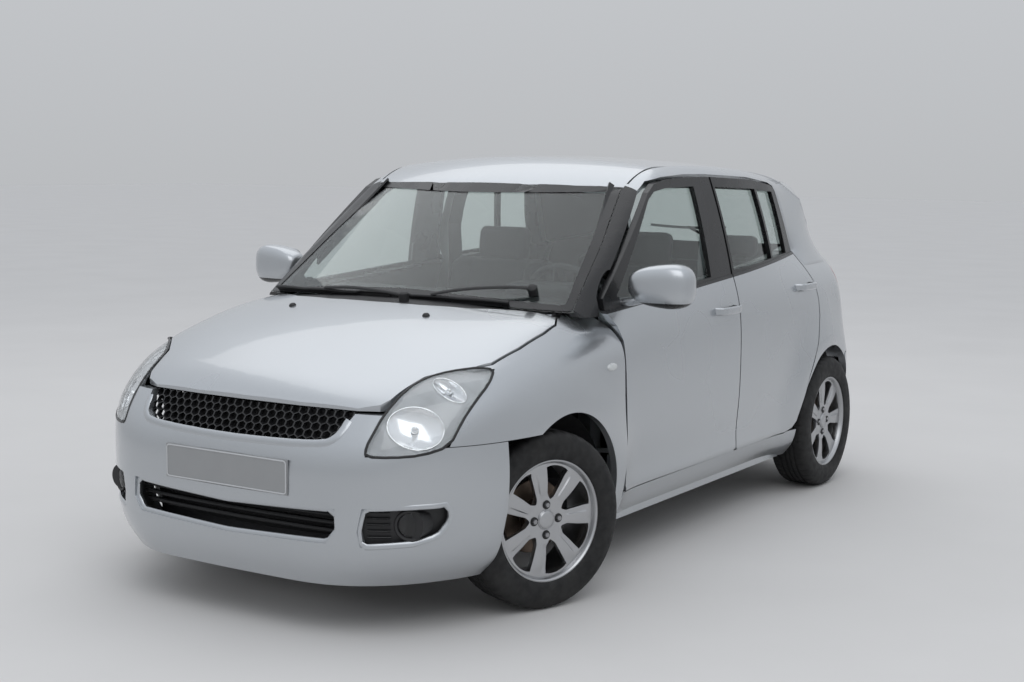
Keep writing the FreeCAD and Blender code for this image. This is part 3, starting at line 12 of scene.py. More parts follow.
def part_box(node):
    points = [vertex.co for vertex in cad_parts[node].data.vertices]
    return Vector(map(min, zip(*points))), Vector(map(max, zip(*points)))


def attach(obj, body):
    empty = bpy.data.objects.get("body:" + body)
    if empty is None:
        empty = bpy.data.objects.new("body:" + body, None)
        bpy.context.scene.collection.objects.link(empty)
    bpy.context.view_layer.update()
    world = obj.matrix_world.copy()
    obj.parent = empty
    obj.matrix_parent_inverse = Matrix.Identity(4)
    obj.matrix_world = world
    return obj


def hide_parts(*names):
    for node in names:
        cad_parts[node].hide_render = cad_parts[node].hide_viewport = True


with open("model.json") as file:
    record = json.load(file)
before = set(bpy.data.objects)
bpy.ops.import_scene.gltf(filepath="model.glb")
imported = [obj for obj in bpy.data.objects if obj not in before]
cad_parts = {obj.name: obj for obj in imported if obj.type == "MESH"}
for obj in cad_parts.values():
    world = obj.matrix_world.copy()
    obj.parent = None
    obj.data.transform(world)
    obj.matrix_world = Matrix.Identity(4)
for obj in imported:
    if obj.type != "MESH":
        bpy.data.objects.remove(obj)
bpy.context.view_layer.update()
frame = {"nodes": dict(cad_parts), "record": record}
NODES = frame["nodes"]

# Driving sizes in metres, as in the CAD model.
FRONT_AXLE, REAR_AXLE = -1.0825, 1.2975
DOOR_Y = -0.64
WHEEL_Z, TYRE_RADIUS = 0.301, 0.301
FRONT_TRACK, REAR_TRACK, KINGPIN_X, STEER = 1.47, 1.48, 0.612, radians(20.3)
BELT_Z, BELT_RISE = 1.0, 0.069
RAIL_START, PILLAR_FOOT = -0.268, 0.93
MIRROR_FOOT_Z = 0.992
AMBER_TOP, PALE_TOP = 0.872, 0.824


def linked(name, data):
    item = bpy.data.objects.new(name, data)
    bpy.context.scene.collection.objects.link(item)
    return item


def make_camera():
    """At the photograph's place and angle."""
    yaw, pitch, roll = 32.633, 6.702, 0.593
    turn = Matrix.Rotation(radians(yaw), 4, "Z") @ Matrix.Rotation(radians(90 - pitch), 4, "X")
    turn = turn @ Matrix.Rotation(radians(roll), 4, "Z")
    lens = bpy.data.cameras.new("camera")
    lens.lens = 53.82
    lens.sensor_width = 36
    lens.clip_end = 200
    camera = linked("camera", lens)
    camera.matrix_world = Matrix.Translation((3.374, -5.416, 1.486)) @ turn
    bpy.context.scene.camera = camera


make_camera()


# Materials: each is a small node tree on the object's own coordinates.

class Nodes:
    """Short ways to add and join shader nodes."""

    def __init__(self, owner, output="OutputMaterial"):
        owner.use_nodes = True
        self.owner, self.tree = owner, owner.node_tree
        self.tree.nodes.clear()
        self.output = self.add(output)
        self.coordinates = self.add("TexCoord").outputs
        self.place, self.normal = self.coordinates["Object"], self.coordinates["Normal"]

    def add(self, kind, inputs=(), **settings):
        node = self.tree.nodes.new("ShaderNode" + kind)
        for key, value in settings.items():
            setattr(node, key, value)
        for key, value in dict(inputs).items():
            if isinstance(value, bpy.types.NodeSocket):
                self.tree.links.new(value, node.inputs[key])
            else:
                node.inputs[key].default_value = value
        return node

    def shader(self, colour, roughness, **more):
        sockets = {"Base Color": tint(colour), "Roughness": roughness}
        sockets.update({key.replace("_", " "): value for key, value in more.items()})
        return self.add("BsdfPrincipled", sockets)

    def noise(self, scale, detail=3.0):
        return self.add("TexNoise", {"Vector": self.place, "Scale": scale, "Detail": detail}).outputs[0]

    def wave(self, direction, **inputs):
        return self.add("TexWave", {"Vector": self.place, **inputs}, bands_direction=direction).outputs[1]

    def ramp(self, value, low, high, start=0.35, end=0.65):
        limits = {"From Min": start, "From Max": end, "To Min": low, "To Max": high}
        return self.add("MapRange", {"Value": value, **limits}).outputs[0]

    def tone(self, value, dark, light):
        return self.add("Mix", {0: value, 6: tint(dark), 7: tint(light)}, data_type="RGBA").outputs[2]

    def embossed(self, shader, height, strength, distance=0.0004, socket="Normal"):
        bump = self.add("Bump", {"Height": height, "Strength": strength, "Distance": distance})
        self.tree.links.new(bump.outputs[0], shader.inputs[socket])
        return shader

    def maths(self, operation, first, second=0.0):
        return self.add("Math", {0: first, 1: second}, operation=operation).outputs[0]

    def split(self, value=None):
        return self.add("SeparateXYZ", {0: value or self.place}).outputs

    def layered(self, shader, *layers):
        """The shader, covered by each next one where its mask is 1."""
        for mask, cover in layers:
            shader = self.add("MixShader", {0: mask, 1: shader.outputs[0], 2: cover.outputs[0]})
        return shader

    def done(self, shader):
        self.tree.links.new(shader.outputs[0], self.output.inputs[0])
        return self.owner


def tint(colour):
    return colour if isinstance(colour, bpy.types.NodeSocket) else (*colour, 1.0)


def paint(nodes):
    """Silver metallic paint: fine flakes under a clear coat with a little orange peel."""
    flakes = nodes.ramp(nodes.noise(2600.0, 1.0), 0, 1, 0.3, 0.7)
    colour = nodes.tone(flakes, (0.41, 0.43, 0.45), (0.55, 0.572, 0.595))
    rough = nodes.ramp(nodes.noise(1.7, 2.0), 0.27, 0.33)
    shader = nodes.shader(colour, rough, Metallic=0.88, Coat_Weight=1.0, Coat_Roughness=0.045, Coat_IOR=1.5)
    return nodes.embossed(shader, nodes.noise(260.0, 1.0), 0.02, 0.0006, "Coat Normal")


def gloss_black(nodes):
    """The black film and plastic of the window frames."""
    rough = nodes.ramp(nodes.noise(9.0, 2.0), 0.22, 0.32)
    return nodes.shader((0.012, 0.012, 0.013), rough, Specular_IOR_Level=0.5)


def trim(nodes, colour=(0.05, 0.051, 0.054)):
    """Grained cabin trim."""
    shader = nodes.shader(colour, nodes.ramp(nodes.noise(24.0, 2.0), 0.62, 0.74))
    return nodes.embossed(shader, nodes.noise(900.0, 2.0), 0.2)


def cabin_side(nodes):
    """1 where a surface faces the middle of the car."""
    side = nodes.maths("SIGN", nodes.split()[0])
    inward = nodes.maths("MULTIPLY", nodes.split(nodes.normal)[0], side)
    return nodes.maths("LESS_THAN", inward, -0.35)


def roof_paint(nodes):
    """Paint, with a pale lining below."""
    below = nodes.maths("LESS_THAN", nodes.split(nodes.normal)[2], -0.35)
    return nodes.layered(paint(nodes), (below, trim(nodes, (0.42, 0.42, 0.41))))


def frame_paint(nodes):
    """Body side: black on the windscreen pillars, trim towards the cabin."""
    _, y, z = nodes.split()
    ahead, high = nodes.maths("LESS_THAN", y, RAIL_START), nodes.maths("GREATER_THAN", z, PILLAR_FOOT)
    pillar = nodes.maths("MULTIPLY", ahead, high)
    return nodes.layered(paint(nodes), (pillar, gloss_black(nodes)), (cabin_side(nodes), trim(nodes)))


def door_paint(nodes):
    """Paint below the sloping belt line, black frames above it."""
    _, y, z = nodes.split()
    level = nodes.maths("ADD", nodes.maths("MULTIPLY", y, BELT_RISE), BELT_Z)
    above_belt = nodes.maths("GREATER_THAN", z, level)
    return nodes.layered(paint(nodes), (cabin_side(nodes), trim(nodes)), (above_belt, gloss_black(nodes)))


def mirror_paint(nodes):
    """Mirror housing: paint, with a black foot and lower edge."""
    low = nodes.maths("LESS_THAN", nodes.split()[2], MIRROR_FOOT_Z)
    return nodes.layered(paint(nodes), (low, gloss_black(nodes)))


def plastic(nodes, colour, roughness=0.55, scale=900.0, depth=0.25, mottle=0.1):
    """Moulded plastic with a grain and a slightly uneven tone."""
    dark, light = [[c * share for c in colour] for share in (1 - mottle, 1 + mottle)]
    tone = nodes.tone(nodes.ramp(nodes.noise(14.0), 0, 1), dark, light)
    return nodes.embossed(nodes.shader(tone, roughness), nodes.noise(scale, 2.0), depth)


def glass(nodes, colour):
    haze = nodes.ramp(nodes.noise(3.0, 2.0), 0.0, 0.012)
    return nodes.shader(colour, haze, Transmission_Weight=1.0, IOR=1.45)


def metal(nodes, colour, roughness, spread=0.08, scale=60.0):
    rough = nodes.ramp(nodes.noise(scale), roughness - spread / 2, roughness + spread / 2)
    shader = nodes.shader(colour, rough, Metallic=1.0)
    return nodes.embossed(shader, nodes.noise(scale * 8, 2.0), 0.06, 0.0003)


def tail_lens(nodes):
    """Tail lamp: red above, an amber band and a pale reversing lamp below."""
    flutes = nodes.wave("Z", Scale=60.0)
    height = nodes.split()[2]
    bands = []
    for colour in (0.36, 0.012, 0.012), (0.55, 0.16, 0.015), (0.55, 0.54, 0.53):
        rough = nodes.ramp(nodes.noise(9.0, 2.0), 0.08, 0.14)
        shader = nodes.shader(colour, rough, Coat_Weight=1.0, Coat_Roughness=0.03)
        bands.append(nodes.embossed(shader, flutes, 0.25, 0.001))
    amber = nodes.maths("LESS_THAN", height, AMBER_TOP), bands[1]
    pale = nodes.maths("LESS_THAN", height, PALE_TOP), bands[2]
    return nodes.layered(bands[0], amber, pale)


def rubber(nodes):
    dust = nodes.ramp(nodes.noise(11.0, 4.0), 0, 1, 0.4, 0.75)
    tone = nodes.tone(dust, (0.006, 0.006, 0.0065), (0.017, 0.0165, 0.016))
    shader = nodes.shader(tone, nodes.ramp(nodes.noise(35.0), 0.62, 0.8))
    return nodes.embossed(shader, nodes.noise(700.0, 2.0), 0.18)


def fabric(nodes):
    weave = [nodes.wave(direction, Scale=190.0, Distortion=0.6) for direction in "XZ"]
    cloth = nodes.maths("MULTIPLY", *weave)
    tone = nodes.tone(cloth, (0.035, 0.036, 0.04), (0.085, 0.086, 0.092))
    shader = nodes.shader(tone, 0.9, Sheen_Weight=0.35, Sheen_Roughness=0.5)
    return nodes.embossed(shader, cloth, 0.35, 0.0006)


# Material name: the function that builds it, and that function's values.
RECIPES = {
    "silver_paint": (paint,),
    "door_paint": (door_paint,),
    "roof_paint": (roof_paint,),
    "frame_paint": (frame_paint,),
    "mirror_paint": (mirror_paint,),
    "gloss_black": (gloss_black,),
    "lamp_housing": (plastic, (0.62, 0.64, 0.66), 0.22, 200.0, 0.03),
    "repeater_lens": (plastic, (0.6, 0.62, 0.62), 0.1, 90.0, 0.04),
    # Darker than the black plastic: painted shade behind the front openings and inside the wheel arches, over
    # dark parts that are there.
    "black_with_painted_shade": (plastic, (0.006, 0.006, 0.007), 0.65, 90.0, 0.04),
    "chrome": (metal, (0.86, 0.87, 0.88), 0.07, 0.04, 20.0),
    "lamp_bowl": (metal, (0.8, 0.81, 0.83), 0.16, 0.08, 40.0),
    "disc_steel": (metal, (0.16, 0.125, 0.1), 0.5, 0.2, 30.0),
    "black_plastic": (plastic, (0.018, 0.018, 0.019)),
    "cabin_plastic": (plastic, (0.045, 0.046, 0.049), 0.6),
    "dark_metal": (metal, (0.1, 0.1, 0.105), 0.5),
    "grey_plate": (plastic, (0.3, 0.305, 0.31), 0.45, 300.0, 0.04, 0.015),
    "plate_rim": (plastic, (0.52, 0.53, 0.54), 0.35, 300.0, 0.04, 0.015),
    "window_glass": (glass, (0.74, 0.8, 0.78)),
    "lamp_lens": (glass, (0.97, 0.98, 0.98)),
    "tail_lens": (tail_lens,),
    "alloy": (metal, (0.47, 0.475, 0.485), 0.32),
    "tyre_rubber": (rubber,),
    "cast_metal": (metal, (0.2, 0.19, 0.18), 0.6, 0.2),
    "steel": (metal, (0.36, 0.36, 0.37), 0.42),
    "seat_fabric": (fabric,),
}


def made_material(name, build, *values):
    nodes = Nodes(bpy.data.materials.new(name))
    return nodes.done(build(nodes, *values))


MATERIALS = {name: made_material(name, *recipe) for name, recipe in RECIPES.items()}


def dress(item, material):
    """Give the piece one material from the table."""
    item.data.materials.clear()
    item.data.materials.append(MATERIALS[material])


SLOTS = {entry["node"]: entry["material_slot"] for entry in frame["record"]["subparts"]}
SPECIAL = {"roof": "roof_paint"}
for side in ("left", "right"):
    SPECIAL[f"side_frame_{side}"] = "frame_paint"
    SPECIAL[f"mirror_{side}"] = "mirror_paint"
    SPECIAL[f"door_front_{side}"] = SPECIAL[f"door_rear_{side}"] = "door_paint"
for name, item in NODES.items():
    dress(item, SPECIAL.get(name, SLOTS[name]))


# Mesh builders: each makes (vertices, faces), so that parts can be joined before they become a piece.

FORWARD, BACKWARD, DOWN, INWARD = [Vector(v) for v in ((0, -1, 0), (0, 1, 0), (0, 0, -1), (-1, 0, 0))]


def merged(parts):
    verts, faces = [], []
    for more_verts, more_faces in parts:
        base = len(verts)
        verts += [Vector(v) for v in more_verts]
        faces += [tuple(base + i for i in face) for face in more_faces]
    return verts, faces


def pair(part):
    """The part and its mirror image on the car's other side."""
    verts, faces = part
    mirrored = [Vector((-v[0], v[1], v[2])) for v in verts]
    return merged([part, (mirrored, [tuple(reversed(face)) for face in faces])])


def placed(part, matrix):
    return [matrix @ Vector(v) for v in part[0]], part[1]


def aimed(place, direction, up="Z"):
    """A matrix that moves a part to a place and turns its X axis to a direction."""
    return Matrix.Translation(place) @ direction.to_track_quat("X", up).to_matrix().to_4x4()


def turns(count):
    """Even angles round a circle."""
    return [2 * pi * i / count for i in range(count)]


def grid_faces(rows, columns, close_rows=False, close_columns=False, flip=False):
    """Faces between neighbours in a grid of points that are listed row by row."""
    faces = []
    for i in range(rows if close_rows else rows - 1):
        start, after = i * columns, (i + 1) % rows * columns
        for j in range(columns if close_columns else columns - 1):
            k = (j + 1) % columns
            face = (start + j, start + k, after + k, after + j)
            faces.append(face[:1] + face[:0:-1] if flip else face)
    return faces


def lathe(profile, steps, closed=False):
    """Turn (x, radius) points about the X axis."""
    verts = [Vector((x, r * cos(turn), r * sin(turn))) for turn in turns(steps) for x, r in profile]
    return verts, grid_faces(steps, len(profile), True, closed, flip=True)


def sweep(path, ups, profile, closed=False):
    """Carry an outline of (across, up) points along a path; ups is one direction, or one for each point."""
    if isinstance(ups, Vector):
        ups = [ups] * len(path)
    verts = []
    count, ring = len(path), len(profile)
    for i, point in enumerate(path):
        ahead = path[(i + 1) % count] if closed else path[min(i + 1, count - 1)]
        behind = path[i - 1] if closed else path[max(i - 1, 0)]
        along = (ahead - behind).normalized()
        across = along.cross(ups[i]).normalized()
        up = across.cross(along)
        verts += [point + across * a + up * b for a, b in profile]
    faces = grid_faces(count, ring, closed, True)
    if not closed:
        faces.append(tuple(reversed(range(ring))))
        faces.append(tuple(range((count - 1) * ring, count * ring)))
    return verts, faces


def round_profile(width, height, points=10):
    return [(width / 2 * cos(turn), height / 2 * sin(turn)) for turn in turns(points)]


def smoothed(points, rounds=3, closed=True):
    """Cut the corners of an outline until it is round."""
    points = [Vector(p) for p in points]
    for _ in range(rounds):
        cut = []
        ends = points + points[:1] if closed else points
        for first, second in zip(ends, ends[1:]):
            cut += [first.lerp(second, 0.25), first.lerp(second, 0.75)]
        points = cut if closed else points[:1] + cut + points[-1:]
    return points


def spaced(points, step, closed=False):
    """The same path with points an even step apart."""
    points = points + points[:1] if closed else points
    lengths = [(b - a).length for a, b in zip(points, points[1:])]
    count = max(2, round(sum(lengths) / step))
    result, index, passed = [], 0, 0.0
    for i in range(count if closed else count + 1):
        target = sum(lengths) * i / count
        while index < len(lengths) - 1 and passed + lengths[index] < target:
            passed += lengths[index]
            index += 1
        share = (target - passed) / lengths[index] if lengths[index] else 0
        result.append(points[index].lerp(points[index + 1], min(share, 1)))
    return result


def ease(value, start, end):
    share = min(max((value - start) / (end - start), 0), 1)
    return share * share * (3 - 2 * share)


def piece(
    name, part, material, body="car_body", flat=False, stands_for=(), bevel=0, thickness=0
):
    """Make a finished piece of a part and hang it on a body; the slot is named as the material is."""
    mesh = bpy.data.meshes.new(name)
    mesh.from_pydata(part[0], [], part[1])
    work = bmesh.new()
    work.from_mesh(mesh)
    bmesh.ops.remove_doubles(work, verts=work.verts, dist=1e-5)
    bmesh.ops.recalc_face_normals(work, faces=work.faces)
    work.to_mesh(mesh)
    work.free()
    item = linked(name, mesh)
    if thickness:
        solid = item.modifiers.new("thickness", "SOLIDIFY")
        solid.thickness = thickness
        solid.offset = -1
    if bevel:
        edge = item.modifiers.new("edges", "BEVEL")
        edge.width = bevel
        edge.segments = 2
        edge.angle_limit = radians(35)
    if not flat:
        mesh.shade_smooth()
        mesh.set_sharp_from_angle(angle=radians(42))
    dress(item, material)
    if stands_for:
        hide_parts(*stands_for)
    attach(item, body)
    return item


def solid_tree(*names):
    """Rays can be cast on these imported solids."""
    meshes = [NODES[name].data for name in names]
    parts = [([v.co for v in mesh.vertices], [p.vertices for p in mesh.polygons]) for mesh in meshes]
    return BVHTree.FromPolygons(*merged(parts))


def cast(tree, points, aim, lift=0.0, far=0.5):
    """Where points seen along aim fall on the solids: places lifted off the surface, and normals."""
    places, normals = [], []
    for point in points:
        hit, normal, _, _ = tree.ray_cast(Vector(point) - aim * far, aim)
        if hit is None:
            hit, normal, _, _ = tree.find_nearest(Vector(point))
        if normal.dot(aim) > 0:
            normal = -normal
        places.append(hit + normal * lift)
        normals.append(normal)
    return places, normals


def spot(tree, point, aim, lift=0.0, far=0.5):
    """Where one point falls, and the normal there."""
    places, normals = cast(tree, [point], aim, lift, far)
    return places[0], normals[0]


# Wheels, each about its own centre with the outer face to +X.

SPOKES = 7
WINDOW_IN, WINDOW_OUT = 0.071, 0.186
HUB_FACE, SPOKE_FACE = 0.058, 0.066
SPOKE_RADII = [
    0.03, 0.044, 0.058, 0.068, 0.071, 0.0725, 0.075, 0.079, 0.084, 0.091, 0.1, 0.112, 0.126, 0.14, 0.154,
    0.166, 0.174, 0.18, 0.183, 0.185, 0.186, 0.1895, 0.193,
]


def window_half(radius):
    """Half the angle of the opening between two spokes."""
    share = (radius - WINDOW_IN) / (WINDOW_OUT - WINDOW_IN)
    if share <= 0 or share >= 1:
        return 0.0
    round_ends = min(1, sqrt(share / 0.16)) * min(1, sqrt((1 - share) / 0.05))
    return radians(9.5 + 5.6 * share ** 0.6) * round_ends


def spoke_sheet():
    """Flat spokes widening to the rim, each with a low step along one side."""
    columns = 14
    spokes = []
    for spoke in range(SPOKES):
        verts = []
        for radius in SPOKE_RADII:
            reach = pi / SPOKES - window_half(radius)
            middle = ease(radius, 0.078, 0.095) * (1 - ease(radius, 0.16, 0.178))
            level = HUB_FACE + (SPOKE_FACE - HUB_FACE) * ease(radius, 0.05, 0.15)
            for j in range(columns + 1):
                share = 2 * j / columns - 1
                turn = 2 * pi * spoke / SPOKES + reach * share
                x = level + 0.002 * middle * (1 - share ** 2) - 0.0045 * middle * ease(share, 0.3, 0.44)
                verts.append(Vector((x, radius * cos(turn), radius * sin(turn))))
        spokes.append((verts, grid_faces(len(SPOKE_RADII), columns + 1, flip=True)))
    return merged(spokes)


# Outlines turned about the axle, as (x, radius).
LIP = [
    (0.068, 0.1925), (0.075, 0.196), (0.08, 0.1985), (0.0822, 0.2015), (0.0815, 0.2055), (0.078, 0.2068),
    (0.074, 0.206), (0.06, 0.1985), (0.0, 0.192), (-0.06, 0.194), (-0.078, 0.2055), (-0.082, 0.206),
    (-0.08, 0.2), (-0.062, 0.188), (0.0, 0.185), (0.05, 0.186), (0.062, 0.19),
]
CAP = [
    (0.05, 0.0345), (0.06, 0.0345), (0.0612, 0.033), (0.0606, 0.031), (0.0625, 0.0298),
    (0.0645, 0.027), (0.0655, 0.016), (0.0658, 0.0004),
]
DISC = [
    (-0.006, 0.034), (-0.006, 0.06), (-0.01, 0.062), (-0.01, 0.124), (-0.012, 0.126), (-0.02, 0.126),
    (-0.022, 0.124), (-0.022, 0.034),
]
DRUM = [(0.045, 0.07), (0.045, 0.036), (-0.024, 0.036)]
NUT_CUP = [(0.059, 0.0155), (0.0602, 0.015), (0.06, 0.0138), (0.0592, 0.013), (0.0592, 0.0002)]
NUT = [(0.059, 0.009), (0.066, 0.009), (0.0675, 0.0078), (0.0678, 0.0002)]
NUT_RING, NUTS = 0.051, 4
SIDE_WALL = [
    (0.0755, 0.1985), (0.0805, 0.206), (0.085, 0.2085), (0.0868, 0.212), (0.0895, 0.22),
    (0.092, 0.233), (0.0925, 0.245), (0.0918, 0.258), (0.0893, 0.272), (0.085, 0.283),
    (0.079, 0.2915), (0.0715, 0.2965), (0.064, 0.299),
]
TREAD_HALF, GROOVES = 0.06, (0.011, 0.035)


def nut_circle(part):
    """Copies of a part that stands on the X axis, set round the bolt circle."""
    spots = [Matrix.Translation((0, NUT_RING * cos(turn), NUT_RING * sin(turn))) for turn in turns(NUTS)]
    return merged([placed(part, place) for place in spots])


def tyre():
    """Rounded side walls, four grooves round the tread and cuts across its shoulders."""
    tread = [TREAD_HALF - 0.002 * i for i in range(61)]
    line = SIDE_WALL + [(x, TYRE_RADIUS - 0.0012 * (x / TREAD_HALF) ** 2) for x in tread]
    line += [(-x, r) for x, r in reversed(SIDE_WALL)]
    steps = 240
    verts = []
    for i, turn in enumerate(turns(steps)):
        for x, radius in line:
            depth = 0.0
            if abs(x) < 0.061:
                depth = 0.007 * max(1 - ease(abs(abs(x) - groove), 0.0028, 0.0042) for groove in GROOVES)
            if (i + (2 if x > 0 else 0)) % 5 == 0 and 0.04 < abs(x) < 0.074:
                depth = 0.004
            if (i + (1 if x > 0 else 3)) % 6 == 0 and abs(x) < 0.03:
                depth = max(depth, 0.003)
            verts.append(Vector((x, (radius - depth) * cos(turn), (radius - depth) * sin(turn))))
    return verts, grid_faces(steps, len(line), True, flip=True)


def wheel_place(sign, front):
    """Where a wheel stands: sign is +1 on the left, and the front wheels are steered as photographed."""
    half = (FRONT_TRACK if front else REAR_TRACK) / 2
    turn = 0 if sign > 0 else pi
    if not front:
        return Matrix.Translation((sign * half, REAR_AXLE, WHEEL_Z)) @ Matrix.Rotation(turn, 4, "Z")
    arm = sign * (half - KINGPIN_X)
    centre = (sign * KINGPIN_X + arm * cos(STEER), FRONT_AXLE - arm * sin(STEER), WHEEL_Z)
    return Matrix.Translation(centre) @ Matrix.Rotation(turn - STEER, 4, "Z")


def make_wheels():
    rubber_part, spokes = tyre(), spoke_sheet()
    # Piece, part, material and slot.
    rows = (
        ("rim_lip", merged([lathe(LIP, 96, closed=True), lathe(CAP, 48)]), "alloy", "alloy"),
        ("nut_cups", nut_circle(lathe(NUT_CUP, 24)), "black_plastic", "alloy"),
        ("wheel_nuts", nut_circle(lathe(NUT, 6)), "steel", "steel"),
        ("brake_disc", merged([lathe(DISC, 64, closed=True), lathe(DRUM, 48)]), "disc_steel", "cast_metal"),
    )
    for label, front in (("front", True), ("rear", False)):
        for side, sign in (("left", 1), ("right", -1)):
            place, end = wheel_place(sign, front), f"{label}_{side}"
            body = f"wheel_{end}"
            sheet = piece(
                f"spokes_{end}", placed(spokes, place), "alloy", body=body, thickness=0.022, bevel=0.0022,
                stands_for=[f"rim_{end}"],
            )
            sheet.modifiers["thickness"].use_even_offset = True
            for name, part, material, slot_name in rows:
                piece(f"{name}_{end}", placed(part, place), material, body)
            part = placed(rubber_part, place)
            piece(f"tread_{end}", part, "tyre_rubber", body=body, stands_for=[f"tyre_{end}"])


make_wheels()


# Headlamps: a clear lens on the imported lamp's own surface, with a housing and bowls behind it.

# Into the lamp, and across and up on the plane that its outline is drawn on.
LAMP_AIM = Vector((-0.62, 0.66, -0.42)).normalized()
LAMP_ACROSS = (-DOWN).cross(LAMP_AIM).normalized()
LAMP_UP = LAMP_AIM.cross(LAMP_ACROSS)
LAMP = [
    (0.519, -1.785, 0.583), (0.516, -1.775, 0.615), (0.523, -1.747, 0.653), (0.527, -1.704, 0.702),
    (0.541, -1.605, 0.773), (0.565, -1.532, 0.805), (0.618, -1.47, 0.825), (0.675, -1.414, 0.833),
    (0.716, -1.362, 0.829), (0.736, -1.42, 0.791), (0.737, -1.504, 0.741), (0.732, -1.567, 0.687),
    (0.721, -1.619, 0.614), (0.664, -1.691, 0.589), (0.593, -1.748, 0.582),
]
# Middle, half width, half height and tilt of each bowl's rim.
BOWLS = (
    (Vector((0.628, -1.668, 0.672)), 0.088, 0.07, 0.25),
    (Vector((0.657, -1.528, 0.776)), 0.06, 0.033, 0.75),
)
BOWL_DEPTH, RIM_DEPTH = 0.03, 0.015
BULB = [(0.0, 0.012), (0.006, 0.012), (0.008, 0.009), (0.022, 0.008), (0.027, 0.004), (0.028, 0.0002)]


def flat_place(point):
    return Vector((point.dot(LAMP_ACROSS), point.dot(LAMP_UP)))


def sides(outline):
    """The outline's points, each with the next one."""
    return zip(outline, outline[1:] + outline[:1])


def inset(outline, step):
    """A flat outline moved inwards."""
    area = sum(a.x * b.y - b.x * a.y for a, b in sides(outline))
    moved = []
    for i, point in enumerate(outline):
        along = (outline[(i + 1) % len(outline)] - outline[i - 1]).normalized()
        inward = Vector((-along.y, along.x)) * (1 if area > 0 else -1)
        moved.append(point + inward * step)
    return moved


def inside(point, outline):
    hits = 0
    for a, b in sides(outline):
        if (a.y > point.y) != (b.y > point.y):
            hits += point.x < a.x + (point.y - a.y) * (b.x - a.x) / (b.y - a.y)
    return hits % 2 == 1


def edge_distance(point, outline):
    near = 1.0
    for a, b in sides(outline):
        share = min(max((point - a).dot(b - a) / max((b - a).length_squared, 1e-12), 0), 1)
        near = min(near, (point - a.lerp(b, share)).length)
    return near


def filled(outline, step):
    """A flat outline filled with even triangles."""
    xs, ys = zip(*outline)
    points = list(outline)
    for i in range(int((max(ys) - min(ys)) / step) + 1):
        for j in range(int((max(xs) - min(xs)) / step) + 2):
            point = Vector((min(xs) + (j + 0.5 * (i % 2)) * step, min(ys) + (i + 0.5) * step))
            if inside(point, outline) and edge_distance(point, outline) > 0.45 * step:
                points.append(point)
    verts, _, faces, _, _, _ = delaunay_2d_cdt(points, [], [list(range(len(outline)))], 1, 1e-6)
    return verts, faces


def skin(tree, points, aim):
    """Like cast, but a ray that misses the outer skin takes its place from the nearest ones that hit it."""
    places, normals = cast(tree, points, aim)
    good = []
    for i, (place, normal) in enumerate(zip(places, normals)):
        if normal.dot(-aim) > 0.45 and (place - points[i]).cross(aim).length < 0.002:
            good.append(i)
    for i, point in enumerate(points):
        if i in good:
            continue
        near = sorted(good, key=lambda k: (points[k] - point).cross(aim).length)[:4]
        reach = sum((places[k] - point).dot(normals[k]) / aim.dot(normals[k]) for k in near) / len(near)
        places[i] = point + aim * reach
        normals[i] = sum((normals[k] for k in near), Vector()).normalized()
    return places, normals


def make_headlamps():
    tree = solid_tree("headlamps")
    rim = [flat_place(Vector(p)) for p in smoothed(LAMP, 1)]
    rim = inset(spaced(rim, 0.008, closed=True), 0.002)
    verts, faces = filled(rim, 0.007)
    main = BOWLS[0][0]
    plane = main - LAMP_ACROSS * flat_place(main).x - LAMP_UP * flat_place(main).y
    bowls = [(flat_place(centre), *shape) for centre, *shape in BOWLS]

    def lifted(points):
        return [plane + LAMP_ACROSS * p.x + LAMP_UP * p.y for p in points]

    def bowl_share(point):
        """0 at the nearer bowl's middle and 1 at its rim."""
        shares = []
        for centre, wide, tall, tilt in bowls:
            offset = point - centre
            x = offset.x * cos(tilt) + offset.y * sin(tilt)
            y = -offset.x * sin(tilt) + offset.y * cos(tilt)
            shares.append(hypot(x / wide, y / tall))
        return min(shares)

    face, _ = skin(tree, lifted(verts), LAMP_AIM)
    piece("headlamp_lenses", pair((face, faces)), "lamp_lens", stands_for=["headlamps"], thickness=0.003)
    places = []
    for point, place in zip(verts, face):
        deep = 0.004 + 0.013 * ease(edge_distance(point, rim), 0, 0.014)
        share = bowl_share(point)
        if share < 1:
            deep += BOWL_DEPTH * (1 - share ** 2) + 0.004
        places.append(place + LAMP_AIM * deep)
    housing, chrome = [], []
    for triangle in faces:
        middle = sum((verts[i] for i in triangle), Vector((0, 0))) / len(triangle)
        (chrome if bowl_share(middle) < 1 else housing).append(triangle)
    piece("headlamp_housings", pair((places, housing)), "lamp_housing")
    piece("headlamp_bowls", pair((places, chrome)), "lamp_bowl")
    bulbs, rims = [], []
    for centre, wide, tall, tilt in bowls:
        ring = []
        for turn in turns(48):
            x, y = wide * cos(turn), tall * sin(turn)
            point = centre + Vector((x * cos(tilt) - y * sin(tilt), x * sin(tilt) + y * cos(tilt)))
            ring.append(point if inside(point, rim) and edge_distance(point, rim) > 0.01 else None)
        whole = None not in ring
        gap = 0 if whole else ring.index(None)
        run = [point for point in ring[gap:] + ring[:gap] if point]
        path, ups = skin(tree, lifted(run), LAMP_AIM)
        path = [point + LAMP_AIM * RIM_DEPTH for point in path]
        rims.append(sweep(path, ups, round_profile(0.004, 0.004, 8), closed=whole))
        bulb_place, _ = spot(tree, lifted([centre])[0], LAMP_AIM)
        bulbs.append(placed(lathe(BULB, 24), aimed(bulb_place + LAMP_AIM * 0.046, -LAMP_AIM)))
    piece("headlamp_rings", pair(merged(rims)), "chrome")
    piece("headlamp_bulbs", pair(merged(bulbs)), "chrome")
    border, ups = skin(tree, lifted(inset(rim, -0.001)), LAMP_AIM)
    seal = sweep(border, ups, round_profile(0.009, 0.006, 8), closed=True)
    piece("headlamp_seals", pair(seal), "gloss_black")


make_headlamps()
